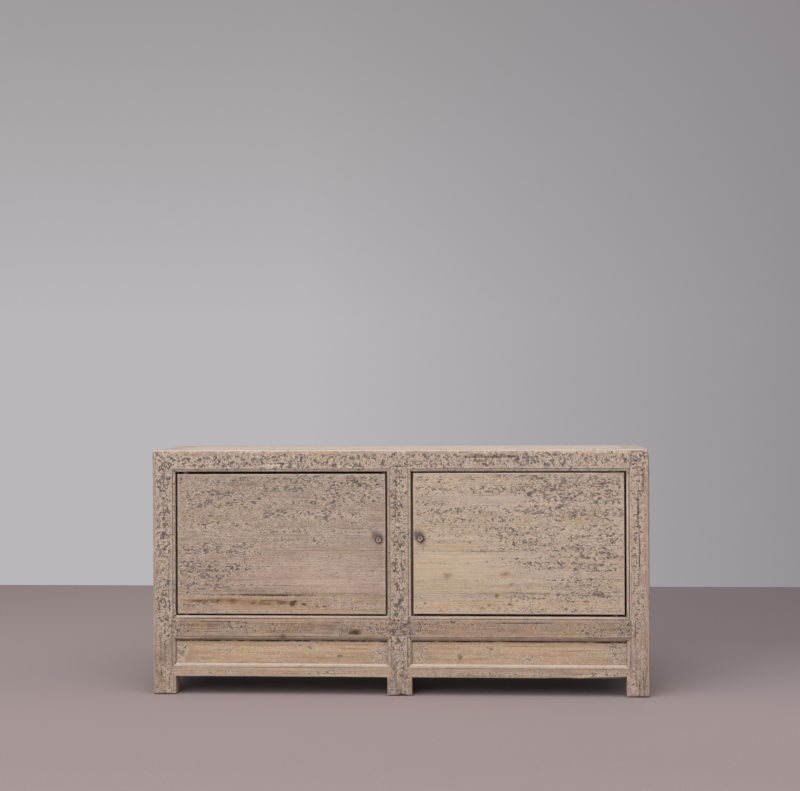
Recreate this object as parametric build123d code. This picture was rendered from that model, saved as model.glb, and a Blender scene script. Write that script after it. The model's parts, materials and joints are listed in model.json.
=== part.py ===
from build123d import *
import os

# Low two-door cabinet in solid timber: frame and panel carcass, board doors on wooden pivots.
# Millimetres, +Z up. The case is drawn about x = 0 and y = 0, its front face towards -Y and
# its feet on z = 0; at the end every piece moves back by half the reach of the knobs, so that
# the origin lies under the middle of the whole object.

# ---- Case ----
width = 1300.0
depth = 395.0
height = 643.0

# ---- Frame members ----
leg_width = 60.5            # across the front
leg_depth = 52.0            # front to back
top_rail_height = 58.0
middle_rail_top = 208.0
middle_rail_height = 66.0
lower_rail_top = 83.0
lower_rail_height = 37.0
rail_depth = 42.0           # thickness of the rails below the top frame
stile_width = 62.6
centre_leg_width = 64.6
centre_leg_depth = 40.0
back_stile_width = 60.0
outer_round = 3.0           # rounding of the case's outer upright edges
top_round = 4.5             # rounding of the top's edges

# ---- Beads worked round the openings of the frame ----
door_bead_width = 7.5       # opening's edge to the quirk beside the bead
door_bead_round = 5.0
skirt_bead_width = 10.5
skirt_bead_round = 8.0
quirk_radius = 1.0

# ---- Joints of the frame ----
shoulder = 12.0             # a mitred shoulder laps over its neighbour by this much
shoulder_depth = 9.0
tenon_thickness = 12.0
tenon_setback = 15.0        # face of the frame to the tenon
tenon_edge = 9.0            # wood between a tenon and the edge of its rail
tenon_web = 5.0             # wood left between two mortises in a leg
tenon_clearance = 0.2
stile_tenon_thickness = 9.0
stile_tenon_setback = 10.0
stile_tenon_length = 24.0
crown_tenon = 12.0          # square tenons on top of a leg, inside the three-way mitre
crown_cover = 18.0          # top of the case to the end of a crown tenon

# ---- Panels held in grooves ----
panel_setback = 11.0        # face of the frame to the face of a panel
panel_thickness = 12.0
tongue_thickness = 7.0
tongue_length = 8.0
groove_gap = 1.0            # room for a panel to swell, at the end of a tongue
groove_clearance = 0.2      # beside a tongue
field_gap = 0.4             # between a panel's field and the frame

back_seam_height = 402.0    # seam between the two boards of each back panel
side_seam = 6.0             # seam between the two boards of each side panel, off the middle

# ---- Top ----
top_board_thickness = 16.0
top_seam_front = -50.0
top_seam_back = 44.0
batten_width = 34.0
batten_height = 22.0
batten_place = 295.0        # middle of the cabinet to a batten
key_width = 26.0            # sliding dovetail at the mouth of its trench
key_flare = 2.0             # how far each side of the dovetail spreads
key_depth = 5.0
key_clearance = 0.1
stub_length = 12.0          # stub tenons of battens and bearers
stub_edge = 4.0             # wood round a stub tenon

# ---- Floor ----
floor_drop = 8.0            # top of the middle rails down to the floor boards
floor_thickness = 14.0
floor_seam_front = -48.0
floor_seam_back = 52.0
bearer_width = 40.0
bearer_height = 30.0
bearer_place = 300.0        # middle of the cabinet to an outer bearer

# ---- Doors ----
door_thickness = 22.0
door_setback = 1.5          # face of the frame to the face of a door
door_round = 2.5
left_door_gaps = {"hinge": 4.5, "free": 4.0, "top": 5.0, "bottom": 4.3}
right_door_gaps = {"hinge": 4.5, "free": 5.3, "top": 2.8, "bottom": 5.5}
left_door_seams = (261.5, 335.7)
right_door_seams = (271.0, 380.3)
stop_clearance = 0.5        # behind a closed door
stop_width = 90.0
stop_thickness = 14.0
stop_stub = 6.0

# ---- Pivots ----
pivot_inset = 22.0          # hinge edge of a door to the pivot's axis
pivot_depth = 13.0          # face of a door to the pivot's axis
pivot_radius = 6.5
pivot_clearance = 0.08
pivot_foot = 12.0           # pivot below the underside of the door opening
pivot_head = 16.0           # pivot above the top of the door opening
pivot_end_gap = 1.0         # over the end of the upper pivot
post_cover = 5.5            # wood in front of the pivot post
post_key_width = 24.0
post_width = 30.0
post_proud = 6.5            # post behind the back of the boards

# ---- Door battens ----
door_batten_place = 70.0    # free edge of a door to the middle of its batten
door_batten_width = 40.0
door_batten_proud = 13.0
door_key_depth = 6.0

# ---- Knobs ----
knob_radius = 10.3
knob_length = 17.0
knob_foot_radius = 8.6
knob_foot_length = 3.0
knob_neck_radius = 6.2
knob_head_length = 8.0
knob_dish_radius = 5.0
knob_dish_depth = 2.2
knob_round = 2.4
shank_radius = 4.0
shank_length = 16.0
shank_clearance = 0.05
left_knob_inset = 17.6      # free edge of the door to the knob's axis
right_knob_inset = 18.9
left_knob_height = 409.4
right_knob_height = 412.6

# ---- Derived places ----
left = -width / 2
front = -depth / 2
opening_left = left + leg_width
opening_front = front + leg_depth
opening_top = height - top_rail_height
middle_rail_bottom = middle_rail_top - middle_rail_height
lower_rail_bottom = lower_rail_top - lower_rail_height
stile_depth = door_setback + door_thickness + stop_clearance
floor_top = middle_rail_top - floor_drop
floor_bottom = floor_top - floor_thickness
slot_reach = tongue_length + groove_gap
front_tenon_length = leg_width - tenon_setback - tenon_thickness - tenon_web
side_tenon_length = leg_depth - tenon_setback - tenon_thickness - tenon_web
top_board_bottom = height - top_board_thickness
knob_reach = knob_length - door_setback

# Each face of the case is drawn flat: x along it, y into it from its outer face, z up it.
to_front = Pos(0, front, 0)
to_left = Pos(left, 0, 0) * Rot(0, 0, -90)


def block(x0, x1, y0, y1, z0, z1):
    return Pos((x0 + x1) / 2, (y0 + y1) / 2, (z0 + z1) / 2) * Box(x1 - x0, y1 - y0, z1 - z0)


def flip_x(piece):
    return mirror(piece, about=Plane.YZ)


def flip_y(piece):
    return mirror(piece, about=Plane.XZ)


def plate(outline, y0, y1):
    """A plate with a straight-sided outline in x and z, from y0 to y1."""
    face = Face(Wire.make_polygon([(x, y0, z) for x, z in outline]))
    return extrude(face, amount=y1 - y0, dir=(0, 1, 0))


def bar(outline, z0, z1):
    """An upright bar with a straight-sided section in x and y, from z0 to z1."""
    face = Face(Wire.make_polygon([(x, y, z0) for x, y in outline]))
    return extrude(face, amount=z1 - z0, dir=(0, 0, 1))


def pyramid(apex, base):
    """The solid between a four-cornered base and an apex."""
    sides = [Face(Wire.make_polygon([*pair, apex])) for pair in zip(base, base[1:] + base[:1])]
    return Solid(Shell([Face(Wire.make_polygon(base)), *sides]))


# ---- Beads ----

def upright_bead(x, wood, z0, z1, radius, bead):
    """Rounds the edge at x of a face, which has wood towards wood, and cuts the quirk beside it."""
    near, far = sorted((x, x + wood * radius))
    square = block(near, far, 0, radius, z0, z1)
    kept = Pos(x + wood * radius, radius, (z0 + z1) / 2) * Cylinder(radius, z1 - z0)
    quirk = Pos(x + wood * bead, 0, (z0 + z1) / 2) * Cylinder(quirk_radius, z1 - z0)
    return [square - kept, quirk]


def level_bead(z, wood, x0, x1, radius, bead):
    """The same for an edge along x at height z."""
    near, far = sorted((z, z + wood * radius))
    square = block(x0, x1, 0, radius, near, far)
    along = Pos((x0 + x1) / 2, 0, z) * Rot(0, 90, 0)
    kept = Pos(0, radius, wood * radius) * along * Cylinder(radius, x1 - x0)
    quirk = Pos(0, 0, wood * bead) * along * Cylinder(quirk_radius, x1 - x0)
    return [square - kept, quirk]


# ---- Joints ----

def rail_joints(half_run, span, tenons, square_foot=False, grow=0.0):
    """Mitred shoulders and tenons on both ends of a rail that runs between two uprights."""
    z0, z1 = span
    made = []
    foot = 0 if square_foot else shoulder
    for end, tenon in zip((-1, 1), tenons):
        lap = end * (half_run + shoulder)
        lip = [(end * half_run, z0), (lap, z0 + foot), (lap, z1 - shoulder), (end * half_run, z1)]
        made.append(plate(lip, 0, shoulder_depth))
        reach = sorted((end * (half_run - grow), end * (half_run + tenon + grow)))
        made.append(block(*reach, tenon_setback - grow, tenon_setback + tenon_thickness + grow,
                          z0 + tenon_edge - grow, z1 - tenon_edge + grow))
    return made


def post_joint(half_width, z, up, grow=0.0):
    """Mitred shoulder and tenon on the end at height z of an upright between two rails."""
    narrow = half_width - shoulder
    lip = [(-half_width, z), (half_width, z), (narrow, z + up * shoulder), (-narrow, z + up * shoulder)]
    reach = sorted((z - up * grow, z + up * (stile_tenon_length + grow)))
    tenon = block(-narrow - grow, narrow + grow, stile_tenon_setback - grow,
                  stile_tenon_setback + stile_tenon_thickness + grow, *reach)
    return [plate(lip, 0, shoulder_depth), tenon]


def slot(x0, x1, z0, z1):
    """The groove round an opening that takes the tongue of a panel, which stands on its floor."""
    return block(x0 - slot_reach, x1 + slot_reach, panel_setback - groove_clearance,
                 panel_setback + tongue_thickness, z0 - tongue_length, z1 + slot_reach)


def panel(x0, x1, z0, z1):
    """A panel for an opening in a face: a field, and a tongue all round its front."""
    field = block(x0 + field_gap, x1 - field_gap, panel_setback, panel_setback + panel_thickness,
                  z0, z1 - field_gap)
    tongue = block(x0 - tongue_length, x1 + tongue_length, panel_setback,
                   panel_setback + tongue_thickness, z0 - tongue_length, z1 + tongue_length)
    return field + tongue


def boards(whole, seams, axis):
    """The boards that a panel is made of, from its lowest along the axis to its highest."""
    reach = width + depth + height
    cuts = [-reach, *seams, reach]
    made = []
    for low, high in zip(cuts, cuts[1:]):
        span = {"x": [-reach, reach], "y": [-reach, reach], "z": [-reach, reach]}
        span[axis] = [low, high]
        made.append(whole & block(*span["x"], *span["y"], *span["z"]))
    return made


# ---- Openings in the faces of the case ----

half_front = -opening_left
half_side = -opening_front
half_stile = stile_width / 2
half_centre_leg = centre_leg_width / 2
half_back_stile = back_stile_width / 2
left_door_opening = (-half_front, -half_stile, middle_rail_top, opening_top)
left_skirt_opening = (-half_front, -half_centre_leg, lower_rail_top, middle_rail_bottom)
side_opening = (-half_side, half_side, middle_rail_top, opening_top)
side_skirt_opening = (-half_side, half_side, lower_rail_top, middle_rail_bottom)
back_opening = (-half_front, -half_back_stile, middle_rail_top, opening_top)
back_skirt_opening = (-half_front, half_front, lower_rail_top, middle_rail_bottom)

door_bead = (door_bead_round, door_bead_width)
skirt_bead = (skirt_bead_round, skirt_bead_width)

middle_span = (middle_rail_bottom, middle_rail_top)
lower_span = (lower_rail_bottom, lower_rail_top)
front_tenons = (front_tenon_length, front_tenon_length)
side_tenons = (side_tenon_length, side_tenon_length)
centre_tenon_length = half_centre_leg - tenon_web / 2


def placed(place, shapes):
    return [place * shape for shape in shapes]


def both_halves(shapes):
    """The shapes and their mirror images on the right half."""
    return shapes + [flip_x(shape) for shape in shapes]


def level_beads(x_end, z, wood, bead):
    """Beads along an edge of a front member, from a leg to an upright x_end from the middle."""
    run = (left, shoulder - x_end)
    return both_halves(placed(to_front, level_bead(z, wood, *run, *bead)))


def side_beads(z, wood, bead):
    return placed(to_left, level_bead(z, wood, front, -front, *bead))


def upright_beads(place, x, wood):
    """Beads up the edge of an upright, beside a door or side board and beside the skirt."""
    upper = upright_bead(x, wood, middle_rail_top - shoulder, height, *door_bead)
    lower = upright_bead(x, wood, lower_rail_top - shoulder, middle_rail_bottom + shoulder, *skirt_bead)
    return placed(place, upper + lower)


outer = block(left, -left, front, -front, 0, height)
outer = fillet(outer.edges().filter_by(Axis.Z), outer_round)
outer = fillet(outer.faces().sort_by(Axis.Z)[-1].edges(), top_round)


# ---- Legs and top frame: three members meet in a mitre at each top corner ----

corner = (left, front, height)
low_square = [(left, front, opening_top), (opening_left, front, opening_top),
              (opening_left, opening_front, opening_top), (left, opening_front, opening_top)]
long_square = [(opening_left, front, opening_top), (opening_left, opening_front, opening_top),
               (opening_left, opening_front, height), (opening_left, front, height)]
short_square = [(left, opening_front, opening_top), (left, opening_front, height),
                (opening_left, opening_front, height), (opening_left, opening_front, opening_top)]


def crown_tenons(grow=0.0):
    """Two square tenons on top of a leg, one up into each rail of the top."""
    made = []
    for share_x, share_y in ((2, 1), (1, 2)):
        x = left + leg_width * share_x / 3
        y = front + leg_depth * share_y / 3
        half = crown_tenon / 2 + grow
        made.append(block(x - half, x + half, y - half, y + half,
                          opening_top - grow, height - crown_cover + grow))
    return made


def leg_mortises():
    """All that is cut out of the front left leg."""
    cut = []
    for span, square_foot in ((middle_span, False), (lower_span, True)):
        cut += placed(to_front, rail_joints(half_front, span, front_tenons, square_foot,
                                            tenon_clearance))
        cut += placed(to_left, rail_joints(half_side, span, side_tenons, square_foot,
                                           tenon_clearance))
    return cut + [to_front * slot(*left_skirt_opening), to_left * slot(*side_opening),
                  to_left * slot(*side_skirt_opening)]


def leg(cuts):
    """The front left leg, less the cuts that only a front or only a back leg has."""
    post = block(left, opening_left, front, opening_front, 0, opening_top)
    whole = post + pyramid(corner, low_square) + crown_tenons()
    beads = upright_beads(to_front, opening_left, -1) + upright_beads(to_left, half_side, 1)
    return (whole & outer) - leg_mortises() - beads - cuts


def long_top_rail(x_end, cuts):
    """The front rail of the top over an upright x_end from the middle, less what only it lacks."""
    tip = pyramid(corner, long_square)
    whole = block(opening_left, half_front, front, opening_front, opening_top, height)
    whole = (whole + [tip, flip_x(tip)]) & outer
    tenons = crown_tenons(tenon_clearance)
    beads = level_beads(x_end, opening_top, 1, door_bead)
    return whole - both_halves(tenons) - top_slot() - batten_stubs(key_clearance) - beads - cuts


def top_rail_left():
    tip = pyramid(corner, short_square)
    whole = block(left, opening_left, opening_front, half_side, opening_top, height)
    whole = (whole + [tip, flip_y(tip)]) & outer
    tenons = crown_tenons(tenon_clearance)
    tenons += [flip_y(tenon) for tenon in tenons]
    beads = side_beads(opening_top, 1, door_bead)
    return whole - tenons - top_slot() - to_left * slot(*side_opening) - beads


# ---- Top boards and their battens ----

def top_slot():
    """The groove round the top frame, whose floor carries the top boards."""
    return block(opening_left - slot_reach, half_front + slot_reach, opening_front - slot_reach,
                 half_side + slot_reach, top_board_bottom,
                 top_board_bottom + tongue_thickness + groove_clearance)


def dovetail(x, y_key, y_mouth, half_mouth, flare, grow=0.0):
    """Section of a sliding dovetail about x: wide at y_key, narrow at y_mouth."""
    wide = half_mouth + flare + grow
    narrow = half_mouth + grow
    return [(x - wide, y_key), (x + wide, y_key), (x + narrow, y_mouth), (x - narrow, y_mouth)]


def batten_key(x, grow=0.0):
    """The dovetail on top of a batten, which runs from front to back."""
    section = dovetail(x, key_depth + grow, 0, key_width / 2, key_flare, grow)
    face = Face(Wire.make_polygon([(a, opening_front, top_board_bottom + b) for a, b in section]))
    return extrude(face, amount=2 * half_side, dir=(0, 1, 0))


def stubs(x, stub_width, half_run, z0, z1, grow=0.0):
    """The two stub tenons of a batten or bearer that runs from front to back."""
    half = stub_width / 2 - stub_edge + grow
    made = block(x - half, x + half, -half_run - stub_length - grow, -half_run,
                 z0 + stub_edge - grow, z1 - stub_edge + grow)
    return [made, flip_y(made)]


def batten_stubs(grow=0.0):
    made = []
    for x in (-batten_place, batten_place):
        made += stubs(x, batten_width, half_side, top_board_bottom - batten_height,
                      top_board_bottom, grow)
    return made


def top_batten():
    x = -batten_place
    body = block(x - batten_width / 2, x + batten_width / 2, -half_side, half_side,
                 top_board_bottom - batten_height, top_board_bottom)
    return body + batten_key(x) + stubs(x, batten_width, half_side,
                                        top_board_bottom - batten_height, top_board_bottom)


def top_boards():
    field = block(opening_left + field_gap, half_front - field_gap, opening_front + field_gap,
                  half_side - field_gap, top_board_bottom, height)
    tongue = block(opening_left - tongue_length, half_front + tongue_length,
                   opening_front - tongue_length, half_side + tongue_length,
                   top_board_bottom, top_board_bottom + tongue_thickness)
    whole = field + tongue - [batten_key(-batten_place, key_clearance),
                              batten_key(batten_place, key_clearance)]
    return boards(whole, (top_seam_front, top_seam_back), "y")


# ---- Floor ----

rail_inside_front = front + rail_depth
rail_inside_left = left + rail_depth


def floor_slot():
    """The groove round the inside of the middle rails, whose floor carries the floor boards."""
    return block(rail_inside_left - slot_reach, -rail_inside_left + slot_reach,
                 rail_inside_front - slot_reach, -rail_inside_front + slot_reach, floor_bottom,
                 floor_bottom + tongue_thickness + groove_clearance)


def bearer_stubs(grow=0.0):
    made = []
    for x in (-bearer_place, 0, bearer_place):
        made += stubs(x, bearer_width, -rail_inside_front, floor_bottom - bearer_height,
                      floor_bottom, grow)
    return made


def floor_bearer(x):
    body = block(x - bearer_width / 2, x + bearer_width / 2, rail_inside_front, -rail_inside_front,
                 floor_bottom - bearer_height, floor_bottom)
    return body + stubs(x, bearer_width, -rail_inside_front, floor_bottom - bearer_height,
                        floor_bottom)


def floor_boards():
    field = block(rail_inside_left + field_gap, -rail_inside_left - field_gap,
                  rail_inside_front + field_gap, -rail_inside_front - field_gap,
                  floor_bottom, floor_top)
    tongue = block(rail_inside_left - tongue_length, -rail_inside_left + tongue_length,
                   rail_inside_front - tongue_length, -rail_inside_front + tongue_length,
                   floor_bottom, floor_bottom + tongue_thickness)
    notch = block(left, opening_left + field_gap, front, opening_front + field_gap,
                  floor_bottom, floor_top)
    notches = [notch, flip_x(notch), flip_y(notch), flip_x(flip_y(notch))]
    return boards(field + tongue - notches, (floor_seam_front, floor_seam_back), "y")


# ---- Rails below the top ----

def rail(half_run, span, tenons, square_foot=False):
    body = block(-half_run, half_run, 0, rail_depth, *span)
    return body + rail_joints(half_run, span, tenons, square_foot)


def middle_rail_front():
    made = to_front * rail(half_front, middle_span, front_tenons)
    joints = post_joint(half_stile, middle_rail_top, -1, tenon_clearance)
    joints += post_joint(half_centre_leg, middle_rail_bottom, 1, tenon_clearance)
    cuts = placed(to_front, joints) + both_halves([to_front * slot(*left_skirt_opening)])
    cuts += [floor_slot(), *bearer_stubs(key_clearance), *stop_stubs(tenon_clearance)]
    cuts += pivot_sockets() + level_beads(half_stile, middle_rail_top, -1, door_bead)
    return made - cuts - level_beads(half_centre_leg, middle_rail_bottom, 1, skirt_bead)


def middle_rail_back():
    made = to_front * rail(half_front, middle_span, front_tenons)
    cuts = placed(to_front, post_joint(half_back_stile, middle_rail_top, -1, tenon_clearance))
    cuts += both_halves([to_front * slot(*back_opening)]) + bearer_stubs(key_clearance)
    cuts += [to_front * slot(*back_skirt_opening), floor_slot()]
    cuts += level_beads(half_back_stile, middle_rail_top, -1, door_bead)
    return flip_y(made - cuts - level_beads(0, middle_rail_bottom, 1, skirt_bead))


def middle_rail_left():
    made = to_left * rail(half_side, middle_span, side_tenons)
    cuts = [to_left * slot(*side_opening), to_left * slot(*side_skirt_opening), floor_slot()]
    cuts += side_beads(middle_rail_top, -1, door_bead)
    return made - cuts - side_beads(middle_rail_bottom, 1, skirt_bead)


# A lower front rail runs from a leg to the centre leg.
skirt_half_run = (half_front - half_centre_leg) / 2
skirt_middle = -(half_front + half_centre_leg) / 2
skirt_tenons = (front_tenon_length, centre_tenon_length)


def lower_rail_front_left():
    made = to_front * Pos(skirt_middle, 0, 0) * rail(skirt_half_run, lower_span, skirt_tenons, True)
    beads = level_beads(half_centre_leg, lower_rail_top, -1, skirt_bead)
    return made - to_front * slot(*left_skirt_opening) - beads


def lower_rail_back():
    made = to_front * rail(half_front, lower_span, front_tenons, True)
    beads = level_beads(0, lower_rail_top, -1, skirt_bead)
    return flip_y(made - to_front * slot(*back_skirt_opening) - beads)


def lower_rail_left():
    made = to_left * rail(half_side, lower_span, side_tenons, True)
    beads = side_beads(lower_rail_top, -1, skirt_bead)
    return made - to_left * slot(*side_skirt_opening) - beads


# ---- Uprights between the rails ----

def post_ends(half_width):
    """The joints on both ends of an upright between the middle rail and the top rail."""
    return post_joint(half_width, middle_rail_top, -1) + post_joint(half_width, opening_top, 1)


def centre_stile():
    body = block(-half_stile, half_stile, 0, stile_depth, middle_rail_top, opening_top)
    beads = upright_beads(to_front, -half_stile, 1)
    return to_front * (body + post_ends(half_stile)) - both_halves(beads)


def centre_leg():
    body = block(-half_centre_leg, half_centre_leg, 0, centre_leg_depth, 0, middle_rail_bottom)
    made = to_front * (body + post_joint(half_centre_leg, middle_rail_bottom, 1))
    cuts = placed(to_front * Pos(skirt_middle, 0, 0),
                  rail_joints(skirt_half_run, lower_span, skirt_tenons, True, tenon_clearance))
    cuts.append(to_front * slot(*left_skirt_opening))
    cuts += upright_beads(to_front, -half_centre_leg, 1)
    return made - both_halves(cuts)


def back_stile():
    body = block(-half_back_stile, half_back_stile, 0, rail_depth, middle_rail_top, opening_top)
    cuts = [to_front * slot(*back_opening), *upright_beads(to_front, -half_back_stile, 1)]
    return flip_y(to_front * (body + post_ends(half_back_stile)) - both_halves(cuts))


# ---- Stop strip behind the centre stile ----

def stop_stubs(grow=0.0):
    half = stop_width / 2 - tenon_edge + grow
    y0 = stile_depth - grow
    y1 = stile_depth + stop_thickness + grow
    reach = stop_stub + grow
    return [to_front * block(-half, half, y0, y1, middle_rail_top - reach, middle_rail_top),
            to_front * block(-half, half, y0, y1, opening_top, opening_top + reach)]


def door_stop():
    half = stop_width / 2
    strip = to_front * block(-half, half, stile_depth, stile_depth + stop_thickness,
                             middle_rail_top, opening_top)
    return strip + stop_stubs()


# ---- Doors, drawn as they hang on the left: the hinge edge towards -X ----

def door_span(gaps):
    """The door's hinge edge, free edge, lower edge and upper edge."""
    return (opening_left + gaps["hinge"], -half_stile - gaps["free"],
            middle_rail_top + gaps["bottom"], opening_top - gaps["top"])


def pivot_place(gaps):
    x = opening_left + gaps["hinge"] + pivot_inset
    return Pos(x, front + door_setback + pivot_depth, 0)


def upright_pin(radius, z0, z1):
    return Pos(0, 0, (z0 + z1) / 2) * Cylinder(radius, z1 - z0)


def pivot_sockets():
    """The four sockets that the doors turn in, two in the middle rail and two in the top rail."""
    radius = pivot_radius + pivot_clearance
    head_depth = pivot_head + pivot_end_gap
    pair = [upright_pin(radius, middle_rail_top - pivot_foot, middle_rail_top),
            upright_pin(radius, opening_top, opening_top + head_depth)]
    made = [pivot_place(left_door_gaps) * socket for socket in pair]
    return made + [flip_x(pivot_place(right_door_gaps) * socket) for socket in pair]


def post_key(gaps, grow=0.0):
    """The dovetail along the front of a pivot post, let into the back of the boards."""
    hinge_edge, _, z0, z1 = door_span(gaps)
    section = dovetail(hinge_edge + pivot_inset, front + door_setback + post_cover - grow,
                       front + door_setback + door_thickness, post_key_width / 2, key_flare, grow)
    return bar(section, z0, z1)


def door_batten_key(gaps, grow=0.0):
    _, free_edge, z0, z1 = door_span(gaps)
    back = front + door_setback + door_thickness
    section = dovetail(free_edge - door_batten_place, back - door_key_depth - grow, back,
                       key_width / 2, key_flare, grow)
    return bar(section, z0, z1)


def knob_place(gaps, inset, knob_height):
    _, free_edge, _, _ = door_span(gaps)
    return Pos(free_edge - inset, front + door_setback, knob_height) * Rot(90, 0, 0)


def door_boards(gaps, seams, knob_at):
    hinge_edge, free_edge, z0, z1 = door_span(gaps)
    y0 = front + door_setback
    slab = block(hinge_edge, free_edge, y0, y0 + door_thickness, z0, z1)
    slab = fillet(slab.faces().sort_by(Axis.Y)[0].edges(), door_round)
    shank_hole = Pos(0, 0, -shank_length / 2) * Cylinder(shank_radius + shank_clearance, shank_length)
    whole = slab - [post_key(gaps, key_clearance), door_batten_key(gaps, key_clearance),
                    knob_at * shank_hole]
    return boards(whole, seams, "z")


def pivot_post(gaps):
    hinge_edge, _, z0, z1 = door_span(gaps)
    x = hinge_edge + pivot_inset
    back = front + door_setback + door_thickness
    body = block(x - post_width / 2, x + post_width / 2, back, back + post_proud, z0, z1)
    pins = [upright_pin(pivot_radius, middle_rail_top - pivot_foot, z0),
            upright_pin(pivot_radius, z1, opening_top + pivot_head)]
    return body + post_key(gaps) + [pivot_place(gaps) * pin for pin in pins]


def door_batten(gaps):
    _, free_edge, z0, z1 = door_span(gaps)
    x = free_edge - door_batten_place
    back = front + door_setback + door_thickness
    body = block(x - door_batten_width / 2, x + door_batten_width / 2, back,
                 back + door_batten_proud, z0, z1)
    return body + door_batten_key(gaps)


def knob():
    """A turned knob on local z: its foot on z = 0, its shank below."""
    neck_top = knob_length - knob_head_length
    head = Pos(0, 0, (neck_top + knob_length) / 2) * Cylinder(knob_radius, knob_head_length)
    head = fillet(head.edges(), knob_round)
    dish_radius = (knob_dish_radius ** 2 + knob_dish_depth ** 2) / (2 * knob_dish_depth)
    head -= Pos(0, 0, knob_length - knob_dish_depth + dish_radius) * Sphere(dish_radius)
    foot = Pos(0, 0, knob_foot_length / 2) * Cylinder(knob_foot_radius, knob_foot_length)
    neck = Pos(0, 0, neck_top / 2) * Cylinder(knob_neck_radius, neck_top)
    shank = Pos(0, 0, -shank_length / 2) * Cylinder(shank_radius, shank_length)
    return head + foot + neck + shank


def door(gaps, seams, knob_inset, knob_height):
    """All pieces of a door, as they hang on the left."""
    knob_at = knob_place(gaps, knob_inset, knob_height)
    bottom, middle, top = door_boards(gaps, seams, knob_at)
    return {"board_top": top, "board_middle": middle, "board_bottom": bottom,
            "post": pivot_post(gaps), "batten": door_batten(gaps), "knob": knob_at * knob()}


# ---- The whole cabinet ----

def frame_pieces():
    """Legs, rails and uprights, by name."""
    back_slots = both_halves([to_front * slot(*back_opening)])
    front_cuts = placed(to_front, post_joint(half_stile, opening_top, 1, tenon_clearance))
    front_cuts += stop_stubs(tenon_clearance) + pivot_sockets()
    back_cuts = placed(to_front, post_joint(half_back_stile, opening_top, 1, tenon_clearance))
    front_leg = leg([])
    back_leg = flip_y(leg(back_slots))
    return {
        "leg_front_left": front_leg,
        "leg_front_right": flip_x(front_leg),
        "leg_back_left": back_leg,
        "leg_back_right": flip_x(back_leg),
        "top_rail_front": long_top_rail(half_stile, front_cuts),
        "top_rail_back": flip_y(long_top_rail(half_back_stile, back_cuts + back_slots)),
        "top_rail_left": top_rail_left(),
        "top_rail_right": flip_x(top_rail_left()),
        "middle_rail_front": middle_rail_front(),
        "middle_rail_back": middle_rail_back(),
        "middle_rail_left": middle_rail_left(),
        "middle_rail_right": flip_x(middle_rail_left()),
        "lower_rail_front_left": lower_rail_front_left(),
        "lower_rail_front_right": flip_x(lower_rail_front_left()),
        "lower_rail_back": lower_rail_back(),
        "lower_rail_left": lower_rail_left(),
        "lower_rail_right": flip_x(lower_rail_left()),
        "centre_stile": centre_stile(),
        "centre_leg": centre_leg(),
        "back_stile": back_stile(),
        "door_stop": door_stop(),
    }


def panel_pieces():
    """Panels and boards that the frame holds, by name."""
    made = {
        "skirt_panel_front_left": to_front * panel(*left_skirt_opening),
        "skirt_panel_back": flip_y(to_front * panel(*back_skirt_opening)),
        "skirt_panel_left": to_left * panel(*side_skirt_opening),
    }
    side_back, side_front = boards(panel(*side_opening), (side_seam,), "x")
    made["side_board_left_back"] = to_left * side_back
    made["side_board_left_front"] = to_left * side_front
    lower, upper = boards(panel(*back_opening), (back_seam_height,), "z")
    made["back_board_left_lower"] = flip_y(to_front * lower)
    made["back_board_left_upper"] = flip_y(to_front * upper)
    for name in list(made):
        if "left" in name:
            made[name.replace("left", "right")] = flip_x(made[name])
    for prefix, pieces in (("top_board", top_boards()), ("floor_board", floor_boards())):
        for place, piece in zip(("front", "middle", "back"), pieces):
            made[f"{prefix}_{place}"] = piece
    made["top_batten_left"] = top_batten()
    made["top_batten_right"] = flip_x(top_batten())
    for place, x in (("left", -bearer_place), ("centre", 0), ("right", bearer_place)):
        made[f"floor_bearer_{place}"] = floor_bearer(x)
    return made


def door_pieces():
    """Both doors, closed, by name."""
    left_door = door(left_door_gaps, left_door_seams, left_knob_inset, left_knob_height)
    right_door = door(right_door_gaps, right_door_seams, right_knob_inset, right_knob_height)
    made = {f"door_left_{name}": piece for name, piece in left_door.items()}
    made.update({f"door_right_{name}": flip_x(piece) for name, piece in right_door.items()})
    return made


os.makedirs("parts", exist_ok=True)
to_origin = Pos(0, knob_reach / 2, 0)
for name, piece in {**frame_pieces(), **panel_pieces(), **door_pieces()}.items():
    export_step(to_origin * piece, f"parts/{name}.step")
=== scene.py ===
# %% [markdown]
# # A low kang cabinet in stripped old timber
#
# The cabinet is a northern Chinese one: a frame of thick rails and posts, held by tenons, with
# boards let into its grooves and two plank doors that turn on wooden pins. Long ago it was
# lacquered. Later the lacquer was stripped and the wood bleached, so that scraps of dark
# lacquer are left in the pores, and the high edges are worn pale.
#
# The engineering model gives every piece its size and place. Here each piece gets what a hand
# would feel: uneven edges, dents, cracks, raised grain, and a finish that changes from place to
# place. The first cell loads that model as a fixed frame.

# %% Load the frame
import json
import math
from collections import namedtuple

import bpy
import numpy as np
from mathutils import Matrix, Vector
from mathutils.bvhtree import BVHTree
from mathutils.kdtree import KDTree

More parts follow.
